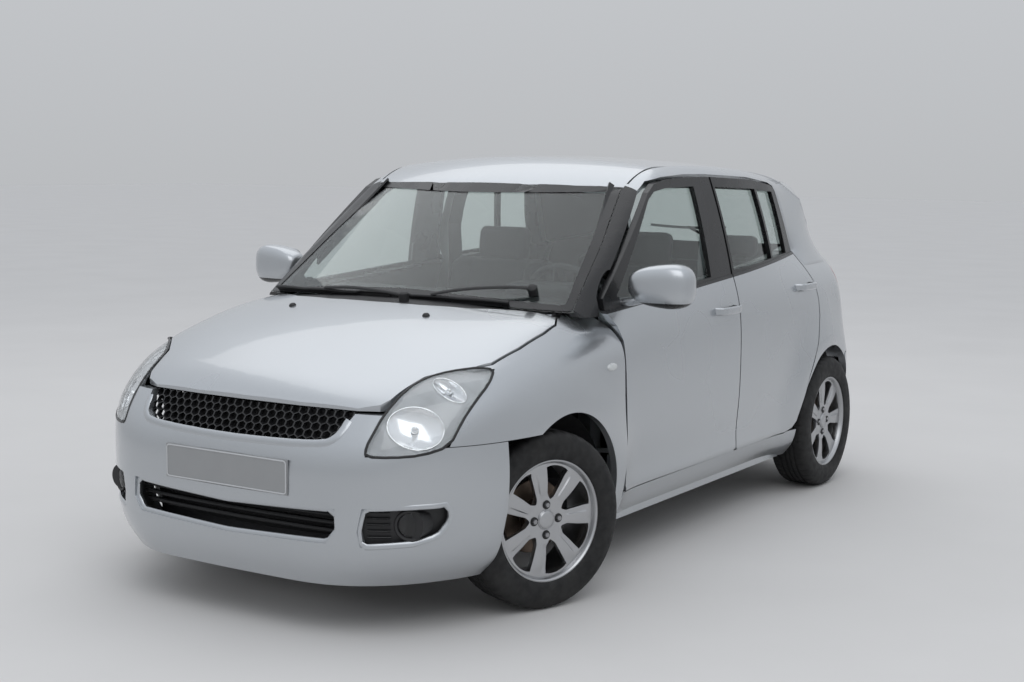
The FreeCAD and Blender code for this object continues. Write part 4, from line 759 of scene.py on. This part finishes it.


# Front openings, drawn as (x, z): near-black sheets behind them, partly painted shade, then slats, fog lamp
# pockets and the plate's rim.

GRILLE = [
    (-0.438, 0.735), (-0.434, 0.69), (-0.414, 0.64), (-0.37, 0.612), (0, 0.598), (0.37, 0.612),
    (0.414, 0.64), (0.434, 0.69), (0.438, 0.735),
]
LOWER_GRILLE = [
    (-0.431, 0.418), (-0.436, 0.35), (-0.4, 0.306), (0, 0.294), (0.4, 0.306), (0.436, 0.35),
    (0.431, 0.418), (0, 0.402),
]
FOG_RECESS = [
    (0.718, 0.432), (0.716, 0.38), (0.69, 0.332), (0.64, 0.312), (0.508, 0.302), (0.5, 0.35),
    (0.516, 0.424), (0.619, 0.43),
]
HEX_STEP, GRILLE_LEAN = 0.034, 0.7
SLAT = [(-0.003, -0.016), (0.003, -0.018), (0.006, 0.012), (0.0, 0.017), (-0.006, 0.012)]


def rows_between(outline, z):
    """Where a level line crosses a flat outline of (x, z) points."""
    hits = []
    for a, b in sides(outline):
        if (a[1] > z) != (b[1] > z):
            hits.append(a[0] + (z - a[1]) * (b[0] - a[0]) / (b[1] - a[1]))
    return min(hits), max(hits)


def make_front_openings():
    nose = solid_tree("front_bumper", "bonnet", "upper_grille", "lower_grille", "front_fenders", "headlamps")
    bumper = solid_tree("front_bumper")
    fronts = {}

    def front(x):
        """The front face's place across the car, taken half way up the bumper."""
        key = round(abs(x), 3)
        if key not in fronts:
            fronts[key] = nose.ray_cast(Vector((key, -3, 0.57)), BACKWARD)[0].y
        return fronts[key]

    def shade_sheet(outline, sink, low, high):
        """A near-black sheet as wide as the opening, some way behind the front face: the dark parts behind
        the grille, with painted shade for the opening's depth.
        """
        verts = []
        for i in range(37):
            z = low + (high - low) * i / 36
            x0, x1 = rows_between(outline, z)
            for j in range(25):
                x = x0 + (x1 - x0) * j / 24
                verts.append(Vector((x, front(x) + sink, z)))
        return verts, grid_faces(37, 25)

    def hexagon(x, z):
        """One cell of the mesh: four six-sided rings make its thick rim."""
        y = front(x) + 0.03 + GRILLE_LEAN * (z - 0.6)
        verts = []
        for radius, back in ((0.56, 0.0), (0.56, 0.016), (0.44, 0.018), (0.47, -0.001)):
            for k in range(6):
                turn = pi / 3 * k + pi / 6
                dx, dz = radius * HEX_STEP * cos(turn) * 1.03, radius * HEX_STEP * sin(turn) * 0.78
                place = (x + dx, y + back + GRILLE_LEAN * dz + front(x + dx) - front(x), z + dz)
                verts.append(Vector(place))
        return verts, grid_faces(4, 6, True, True)

    def lip(outline, width, height, closed, lift):
        """A rounded painted edge following an opening in the bumper."""
        points = smoothed([Vector((x, 0, z)) for x, z in outline], 2, closed)
        path, ups = [], []
        for point in spaced(points, 0.012, closed):
            hit = bumper.find_nearest(Vector((point.x, front(point.x), point.z)))[0]
            path.append(hit + Vector((0, lift, 0)))
            ups.append(Vector((0.35 * point.x, -1, 0.15)).normalized())
        return sweep(path, ups, round_profile(width, height, 12), closed)

    # A near-black sheet behind the upper opening: painted shade for its depth.
    sheet = shade_sheet(GRILLE, 0.115, 0.6, 0.7)
    piece("grille_shade_sheet", sheet, "black_with_painted_shade", thickness=0.004)
    cells = []
    for row in range(5):
        z = 0.612 + row * HEX_STEP * 0.62
        x0, x1 = rows_between(GRILLE, z)
        for column in range(-14, 15):
            x = (column + 0.5 * (row % 2)) * HEX_STEP
            if x0 + 0.004 < x < x1 - 0.004:
                cells.append(hexagon(x, z))
    mesh = merged(cells)
    piece("grille_mesh", mesh, "gloss_black", stands_for=["upper_grille"], flat=True)

    bars = []
    for z, sink in ((0.333, 0.062), (0.36, 0.058), (0.387, 0.054)):
        x0, x1 = rows_between(LOWER_GRILLE, z)
        path = spaced([Vector((x0 - 0.004, 0, z)), Vector((x1 + 0.004, 0, z))], 0.02)
        path = [Vector((p.x, front(p.x) + sink, z)) for p in path]
        bars.append(sweep(path, FORWARD, SLAT))
    piece("lower_slats", merged(bars), "black_plastic", stands_for=["lower_grille"], bevel=0.001)
    # The same near-black sheet behind the lower opening: painted shade for its depth.
    sheet = shade_sheet(LOWER_GRILLE, 0.105, 0.298, 0.412)
    piece("lower_shade_sheet", sheet, "black_with_painted_shade", thickness=0.004)

    lips = [lip(GRILLE, 0.03, 0.012, False, 0.002), lip(LOWER_GRILLE, 0.026, 0.011, True, 0.003)]
    for recess in (FOG_RECESS, [(-x, z) for x, z in reversed(FOG_RECESS)]):
        lips.append(lip(recess, 0.02, 0.009, True, 0.003))
    piece("bumper_lips", merged(lips), "silver_paint")


def make_fog_lamps():
    """A round lamp in a bezel and thin slats, in front of each packed fog lamp block."""
    tree = solid_tree("fog_lamps")
    place, _ = spot(tree, (0.628, -1.9, 0.369), BACKWARD)
    seat = aimed(place, Vector((0.42, -0.9, 0.0)).normalized())
    bezel = [(-0.012, 0.05), (0.006, 0.05), (0.009, 0.047), (0.007, 0.04), (-0.002, 0.036), (-0.012, 0.036)]
    bowl = [(0.0, 0.037), (-0.014, 0.03), (-0.022, 0.018), (-0.024, 0.0004)]
    cover = [(0.0, 0.0375), (0.003, 0.037), (0.007, 0.028), (0.009, 0.014), (0.0095, 0.0004)]
    piece("fog_bezels", pair(placed(lathe(bezel, 48, closed=True), seat)), "black_plastic")
    piece("fog_bowls", pair(placed(lathe(bowl, 40), seat)), "lamp_bowl")
    piece("fog_glasses", pair(placed(lathe(cover, 40), seat)), "lamp_lens")
    bars = []
    for z in (0.332, 0.352, 0.372, 0.392, 0.412):
        path, _ = cast(tree, [(x / 1000, -1.9, z) for x in range(516, 582, 6)], BACKWARD, 0.004)
        bars.append(sweep(path, FORWARD, round_profile(0.007, 0.012, 8)))
    piece("fog_slats", pair(merged(bars)), "gloss_black")


def make_arch_liners():
    """Black liners over the front wheels, wide enough for the tyre at full lock; their near-black, darker
    than the black plastic, is partly painted shade inside the arches.
    """
    columns = (0.47, 0.56, 0.64, 0.7, 0.745)
    verts = []
    for i in range(41):
        turn = radians(6 + 168 * i / 40)
        y, z = FRONT_AXLE + 0.383 * cos(turn), WHEEL_Z + 0.352 * sin(turn)
        verts += [Vector((x, y, z)) for x in columns]
    faces = grid_faces(41, 5)
    centre = len(verts)
    verts.append(Vector((columns[0], FRONT_AXLE, WHEEL_Z + 0.05)))
    faces += [(5 * i, 5 * i + 5, centre) for i in range(3, 37)]
    piece("arch_liners", pair((verts, faces)), "black_with_painted_shade")


make_front_openings()
make_fog_lamps()
make_arch_liners()


def make_plates():
    """A thin raised rim round each blank plate."""
    corner, edge = 0.01, 0.014
    for node, body, out in (("front_plate", "car_body", FORWARD), ("rear_plate", "tailgate_body", BACKWARD)):
        low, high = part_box(node)
        y = (low.y if out is FORWARD else high.y) + out.y * 0.0008
        x, bottom, top = high.x - edge, low.z + edge, high.z - edge
        points = []
        for sx, z, start in ((1, top, 0), (-1, top, 90), (-1, bottom, 180), (1, bottom, 270)):
            for k in range(5):
                turn = radians(start + 22.5 * k)
                points.append(Vector((sx * x + corner * cos(turn), y, z + corner * sin(turn))))
        rim = sweep(points, out, round_profile(0.005, 0.0026, 8), closed=True)
        piece(f"{node}_rim", rim, "plate_rim", body)


make_plates()


# Windscreen border, wipers and washer jets.

SCREEN = [
    (-0.688, 0.966), (-0.4, 0.977), (0, 0.982), (0.4, 0.977), (0.688, 0.966),
    (0.638, 1.19), (0.571, 1.395), (0, 1.399), (-0.571, 1.395), (-0.638, 1.19),
]
BORDER_WIDTH = 0.036


def make_screen_border():
    tree = solid_tree("windscreen")
    outer = spaced([Vector((x, 0, z)) for x, z in SCREEN], 0.02, closed=True)
    middle = Vector((0, 0, 1.17))
    inner = []
    for point in outer:
        toward = (middle - Vector((point.x * 0.55, 0, point.z))).normalized()
        inner.append(point + Vector((toward.x * 0.9, 0, toward.z)).normalized() * BORDER_WIDTH)
    verts, _ = cast(tree, outer + inner, BACKWARD, 0.002, 3.0)
    part = verts, grid_faces(2, len(outer), close_columns=True)
    piece("screen_border", part, "gloss_black")


def wiper_blade(path, ups, tall, lift, carrier):
    """A rubber lip under a carrier; also the carrier's own path."""
    rubber_lip = sweep(path, ups, [(-0.002, 0.0), (0.002, 0.0), (0.003, tall), (-0.003, tall)])
    raised = [p + u * lift for p, u in zip(path, ups)]
    return merged([rubber_lip, sweep(raised, ups, round_profile(*carrier))]), raised


def make_wipers():
    tree = solid_tree("windscreen", "cowl")
    parts = []
    # Each blade's run and its pivot, seen from above.
    for blade, pivot in (
        ([(-0.64, -0.85), (-0.45, -0.905), (-0.23, -0.945), (-0.01, -0.962)], (0.09, -1.01)),
        ([(-0.13, -0.955), (0.07, -0.955), (0.28, -0.935), (0.47, -0.9)], (0.56, -0.95)),
    ):
        run = spaced([Vector((x, y, 1.2)) for x, y in blade], 0.02)
        path, ups = cast(tree, run, DOWN, 0.001)
        part, raised = wiper_blade(path, ups, 0.01, 0.014, (0.013, 0.01))
        foot, foot_up = spot(tree, (*pivot, 1.2), DOWN, 0.012)
        grip = len(path) // 2
        top = ups[grip]
        target = raised[grip] + top * 0.01
        knees = [foot.lerp(target, share) + top * lift for share, lift in ((0.15, 0.02), (0.6, 0.022))]
        arm = spaced(smoothed([foot + foot_up * 0.01, *knees, target], 2, closed=False), 0.015)
        hub = lathe([(-0.012, 0.018), (0.016, 0.018), (0.022, 0.012), (0.023, 0.0004)], 24)
        parts += [part, sweep(arm, top, round_profile(0.016, 0.008))]
        parts.append(placed(hub, aimed(foot, foot_up)))
    piece("wiper_set", merged(parts), "black_plastic", stands_for=["wipers"])
    jet = lathe([(0.0, 0.014), (0.005, 0.013), (0.01, 0.009), (0.012, 0.0004)], 20)
    bonnet = solid_tree("bonnet")
    seats = [spot(bonnet, (x, -1.165, 1.2), DOWN, -0.002) for x in (-0.3, 0.3)]
    jets = merged([placed(jet, aimed(place, up, "Y")) for place, up in seats])
    piece("washer_jets", jets, "black_plastic", body="bonnet_body")


make_screen_border()
make_wipers()


# Small side fittings.

REPEATER = (0.9, -0.742, 0.772)
MIRROR_MIDDLE, MIRROR_HALF = Vector((0.893, -0.556, 1.05)), (0.118, 0.064, 0.084)
MIRROR_LEAN, GLASS_SHARE = 0.1, 0.8


def make_repeaters():
    tree = solid_tree("front_fenders")
    x, y, z = REPEATER
    outline = [(x, y + 0.034 * cos(turn), z + 0.014 * sin(turn)) for turn in turns(32)]
    rim, _ = cast(tree, outline, INWARD)
    middle, normal = spot(tree, REPEATER, INWARD)
    verts = rim
    for share, lift in ((0.94, 0.004), (0.78, 0.0065), (0.45, 0.008)):
        verts = verts + [middle.lerp(p, share) + normal * lift for p in rim]
    faces = grid_faces(4, 32, close_columns=True) + [tuple(range(96, 128))]
    piece("side_repeaters", pair((verts, faces)), "repeater_lens")


def squared(value):
    """Pushes the points of a round form out towards a box."""
    return copysign(abs(value) ** 0.64, value)


def make_mirrors():
    """Rounded housings: full in front, cut flat behind for the glass, on a slim foot in the silver paint."""
    half_x, half_y, half_z = MIRROR_HALF
    for side, sign in (("left", 1), ("right", -1)):

        def at(x, y, z):
            return Vector((sign * (MIRROR_MIDDLE.x + x), MIRROR_MIDDLE.y + y, MIRROR_MIDDLE.z + z))

        steps, rings = 40, 18
        verts = []
        for i in range(rings + 1):
            lift = pi * i / rings
            for turn in turns(steps):
                x = squared(sin(lift) * cos(turn)) * half_x
                y = squared(-cos(lift)) * half_y
                z = squared(sin(lift) * sin(turn)) * half_z * (1 - 0.08 * (x / half_x - 1) ** 2)
                verts.append(at(x, min(y, 0.04) + MIRROR_LEAN * x, z))
        shell = verts, grid_faces(rings + 1, steps, close_columns=True)
        body = f"front_door_{side}"
        node = [f"mirror_{side}"]
        piece(f"mirror_shell_{side}", shell, "mirror_paint", body, stands_for=node)
        foot = [(0.735, -0.56, 0.985), (0.78, -0.56, 0.99), (0.85, -0.556, 1.01)]
        path = spaced([Vector((sign * x, y, z)) for x, y, z in foot], 0.01)
        arm = sweep(path, -DOWN, round_profile(0.066, 0.034, 16))
        piece(f"mirror_foot_{side}", arm, "silver_paint", body=body)
        verts = []
        for turn in turns(steps):
            x, z = squared(cos(turn)) * half_x * GLASS_SHARE, squared(sin(turn)) * half_z * GLASS_SHARE
            verts.append(at(x, 0.0415 + MIRROR_LEAN * x, z))
        piece(f"mirror_glass_{side}", (verts, [tuple(range(steps))]), "chrome", body, flat=True)


make_repeaters()
make_mirrors()


# Seats: foam forms with bolsters and sewn lines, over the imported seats' places.

def cushion(size, crown, bolster=0.0, seams=(), rows=(), corner=0.045):
    """A closed, crowned form about its own middle; +Z is the face that is sat on."""
    half = Vector(size) / 2
    corner = min(corner, half.z * 0.98)
    core = half - Vector((corner, corner, corner))
    work = bmesh.new()
    bmesh.ops.create_cube(work, size=2.0)
    bmesh.ops.subdivide_edges(work, edges=work.edges[:], cuts=27, use_grid_fill=True)
    verts = []
    for vert in work.verts:
        u, v, w = vert.co
        point = Vector((u * half.x, v * half.y, w * half.z))
        near = Vector([max(-c, min(c, p)) for c, p in zip(core, point)])
        away = point - near
        if away.length > 1e-9:
            point = near + away.normalized() * min(corner, away.length)
        if w > 0:
            side = ease(abs(u), 0.52, 0.8) * (1 - ease(abs(u), 0.93, 1.0)) * (1 - ease(abs(v), 0.8, 1.0))
            point.z += crown * (1 - u * u) * (1 - v * v) * w + bolster * side * w
        if w > 0.9:
            point.z -= sum(0.007 * exp(-((abs(u) - seam) / 0.022) ** 2) for seam in seams)
            if abs(u) < 0.6:
                point.z -= sum(0.005 * exp(-((v - row) / 0.02) ** 2) for row in rows)
        point.x *= 1 - 0.03 * (1 - v * v) * (1 - w * w)
        point.y *= 1 - 0.02 * (1 - u * u) * (1 - w * w)
        verts.append(point)
    work.verts.index_update()
    faces = [tuple(v.index for v in face.verts) for face in work.faces]
    work.free()
    return verts, faces


def lying(part, place, tilt=0):
    return placed(part, Matrix.Translation(place) @ Matrix.Rotation(radians(tilt), 4, "X"))


def upright(part, place, lean):
    """Stand a cushion up as a seat back: its face forward, leaning back by an angle."""
    return lying(part, place, 90 - lean)


def stalks(x, spread, y, z, lean):
    """The two steel rods under a head restraint."""
    feet = [Vector((x + dx, y, z)) for dx in (-spread, spread)]
    profile = round_profile(0.014, 0.014)
    return [sweep([foot, foot + Vector((0, lean, 0.06))], BACKWARD, profile) for foot in feet]


def block_part(low, high):
    (x0, y0, z0), (x1, y1, z1) = low, high
    verts = [Vector((x, y, z)) for x in (x0, x1) for y in (y0, y1) for z in (z0, z1)]
    return verts, [(0, 1, 3, 2), (4, 6, 7, 5), (0, 4, 5, 1), (2, 3, 7, 6), (0, 2, 6, 4), (1, 5, 7, 3)]


def make_seats():
    seat_y, bench_y = DOOR_Y + 0.56, DOOR_Y + 1.42
    cushions, backs, rests, plinths, rods, bench = [], [], [], [], [], []
    for x in (0.35, -0.35):
        base = cushion((0.5, 0.53, 0.115), 0.012, 0.03, (0.56,), (-0.45, 0.35))
        cushions.append(lying(base, (x, seat_y - 0.005, 0.442), 4))
        back = cushion((0.5, 0.6, 0.11), 0.014, 0.032, (0.56,), (-0.35, 0.3))
        backs.append(upright(back, (x, seat_y + 0.345, 0.765), 14))
        rest = cushion((0.25, 0.155, 0.085), 0.01, corner=0.035)
        rests.append(upright(rest, (x, seat_y + 0.412, 1.118), 8))
        rods += stalks(x, 0.07, seat_y + 0.405, 1.02, 0.004)
        plinths.append(block_part((x - 0.19, seat_y - 0.16, 0.207), (x + 0.19, seat_y + 0.23, 0.4)))
    whole = merged(cushions + backs + rests)
    piece("front_seat_pads", whole, "seat_fabric", stands_for=["front_seats"])
    piece("seat_plinths", merged(plinths), "cabin_plastic", bevel=0.006)
    for x, width in ((0.205, 0.7), (-0.355, 0.41)):
        base = cushion((width, 0.4, 0.13), 0.014, rows=(0.0,))
        bench.append(lying(base, (x, bench_y + 0.195, 0.425)))
        back = cushion((width, 0.56, 0.1), 0.014, rows=(-0.3, 0.3))
        bench.append(upright(back, (x, bench_y + 0.5, 0.752), 19))
    for x in (-0.3, 0.3):
        rest = cushion((0.22, 0.105, 0.075), 0.008, corner=0.03)
        bench.append(upright(rest, (x, bench_y + 0.585, 1.09), 10))
        rods += stalks(x, 0.06, bench_y + 0.585, 1.0, 0.003)
    piece("rear_seat_pads", merged(bench), "seat_fabric", stands_for=["rear_seat"])
    piece("restraint_stalks", merged(rods), "steel")


make_seats()


# Pillars and tail.

GRIP = [(-0.02, -0.004), (0.02, -0.004), (0.016, 0.012), (0.004, 0.018), (-0.012, 0.016), (-0.018, 0.008)]


def make_pillar_seals():
    """Black seals on the windscreen pillars, behind the gap ahead of the front doors' frames."""
    ends = [Vector((0.656, DOOR_Y + 0.045, 1.085)), Vector((0.556, DOOR_Y + 0.38, 1.38))]
    path = spaced(ends, 0.02)
    out = Vector((1, -0.55, 0.35)).normalized()
    flat = [(-0.055, -0.005), (0.055, -0.005), (0.055, 0.003), (-0.055, 0.003)]
    piece("pillar_seals", pair(sweep(path, out, flat)), "gloss_black")


def make_rear_pillars():
    """A smooth painted skin stretched over the rear pillars, which are folded beside the tailgate."""
    tree = solid_tree("side_frame_left")
    ys = [1.0 + 0.01 * i for i in range(84)]
    zs = [1.02 + 0.01 * i for i in range(44)]
    depth = {}
    for i, y in enumerate(ys):
        for j, z in enumerate(zs):
            hit = tree.ray_cast(Vector((1.3, y, z)), INWARD)[0]
            if hit is not None and hit.x > 0.5:
                depth[i, j] = hit.x
    around = [(a, b) for a in (-1, 0, 1) for b in (-1, 0, 1) if a or b]
    inner = [key for key in depth if all((key[0] + a, key[1] + b) in depth for a, b in around)]
    taut = dict(depth)
    rounds, last = 900, 20
    for turn in range(rounds):
        slack = 0.001 if turn >= rounds - last else 0
        for i, j in inner:
            mean = (taut[i + 1, j] + taut[i - 1, j] + taut[i, j + 1] + taut[i, j - 1]) / 4
            taut[i, j] = max(depth[i, j] - slack, mean)
    inner = set(inner)
    index, verts, faces = {}, [], []
    for (i, j), x in taut.items():
        index[i, j] = len(verts)
        verts.append(Vector((x + (0.0015 if (i, j) in inner else -0.004), ys[i], zs[j])))
    for i, j in index:
        corners = [(i, j), (i + 1, j), (i + 1, j + 1), (i, j + 1)]
        if all(corner in index for corner in corners) and any(corner in inner for corner in corners):
            faces.append(tuple(index[corner] for corner in corners))
    piece("rear_pillar_skins", pair((verts, faces)), "silver_paint")


def make_tail_fittings():
    """Rear wiper, and the grip bar over the plate."""
    tree = solid_tree("tailgate", "rear_window")
    run = [(x / 100, 3, 1.15 + 0.00002 * (x + 12) ** 2) for x in range(-34, 9, 2)]
    path, ups = cast(tree, run, FORWARD, 0.002, 1.0)
    blade, _ = wiper_blade(path, ups, 0.009, 0.012, (0.011, 0.008))
    foot, up = spot(tree, (0.02, 3, 1.055), FORWARD, 0.0, 1.0)
    target = path[10] + ups[10] * 0.018
    arm = smoothed([foot + up * 0.016, foot.lerp(target, 0.4) + up * 0.024, target], 2, closed=False)
    hub = lathe([(-0.004, 0.02), (0.014, 0.02), (0.02, 0.014), (0.021, 0.0004)], 24)
    arm = sweep(arm, up, round_profile(0.016, 0.008))
    parts = merged([blade, arm, placed(hub, aimed(foot, up))])
    piece("rear_wiper", parts, "black_plastic", body="tailgate_body")
    path, ups = cast(tree, [(x / 100, 3, 0.85) for x in range(-34, 35, 2)], FORWARD, 0.0, 1.0)
    grip = sweep(path, ups, GRIP)
    piece("gate_grip", grip, "silver_paint", body="tailgate_body", bevel=0.002)


make_pillar_seals()
make_rear_pillars()
make_tail_fittings()


# Studio: a pale floor, a plain bright surround and two soft lamps.

FLOOR_HALF = 60.0


def make_studio():
    scene = bpy.context.scene
    scene.world = bpy.data.worlds.new("surround")
    nodes = Nodes(scene.world, "OutputWorld")
    height = nodes.ramp(nodes.split(nodes.coordinates["Generated"])[2], 0, 1, -0.05, 0.75)
    sky = nodes.tone(height, (0.6, 0.615, 0.635), (0.98, 1.02, 1.08))
    nodes.done(nodes.add("Background", {"Color": sky, "Strength": 0.8}))
    mesh = bpy.data.meshes.new("studio_floor")
    corners = [(x * FLOOR_HALF, y * FLOOR_HALF, 0) for x, y in ((-1, -1), (1, -1), (1, 1), (-1, 1))]
    mesh.from_pydata(corners, [], [(0, 1, 2, 3)])
    floor = linked("studio_floor", mesh)
    nodes = Nodes(bpy.data.materials.new("pale_floor"))
    tone = nodes.tone(nodes.noise(1.2, 4.0), (0.62, 0.61, 0.6), (0.68, 0.67, 0.66))
    floor.data.materials.append(nodes.done(nodes.shader(tone, 0.85)))
    lamps = ("key", Vector((3.5, -4.5, 6.5)), 6.0, 110.0), ("top", Vector((-2.0, 2.0, 7.0)), 7.0, 90.0)
    for name, place, size, power in lamps:
        lamp = bpy.data.lights.new(name, "AREA")
        lamp.shape = "SQUARE"
        lamp.size = size
        lamp.energy = power
        item = linked(name, lamp)
        item.location = place
        item.rotation_euler = (Vector((0, 0, 0.6)) - place).to_track_quat("-Z", "Y").to_euler()
    scene.view_settings.view_transform = "Standard"


make_studio()
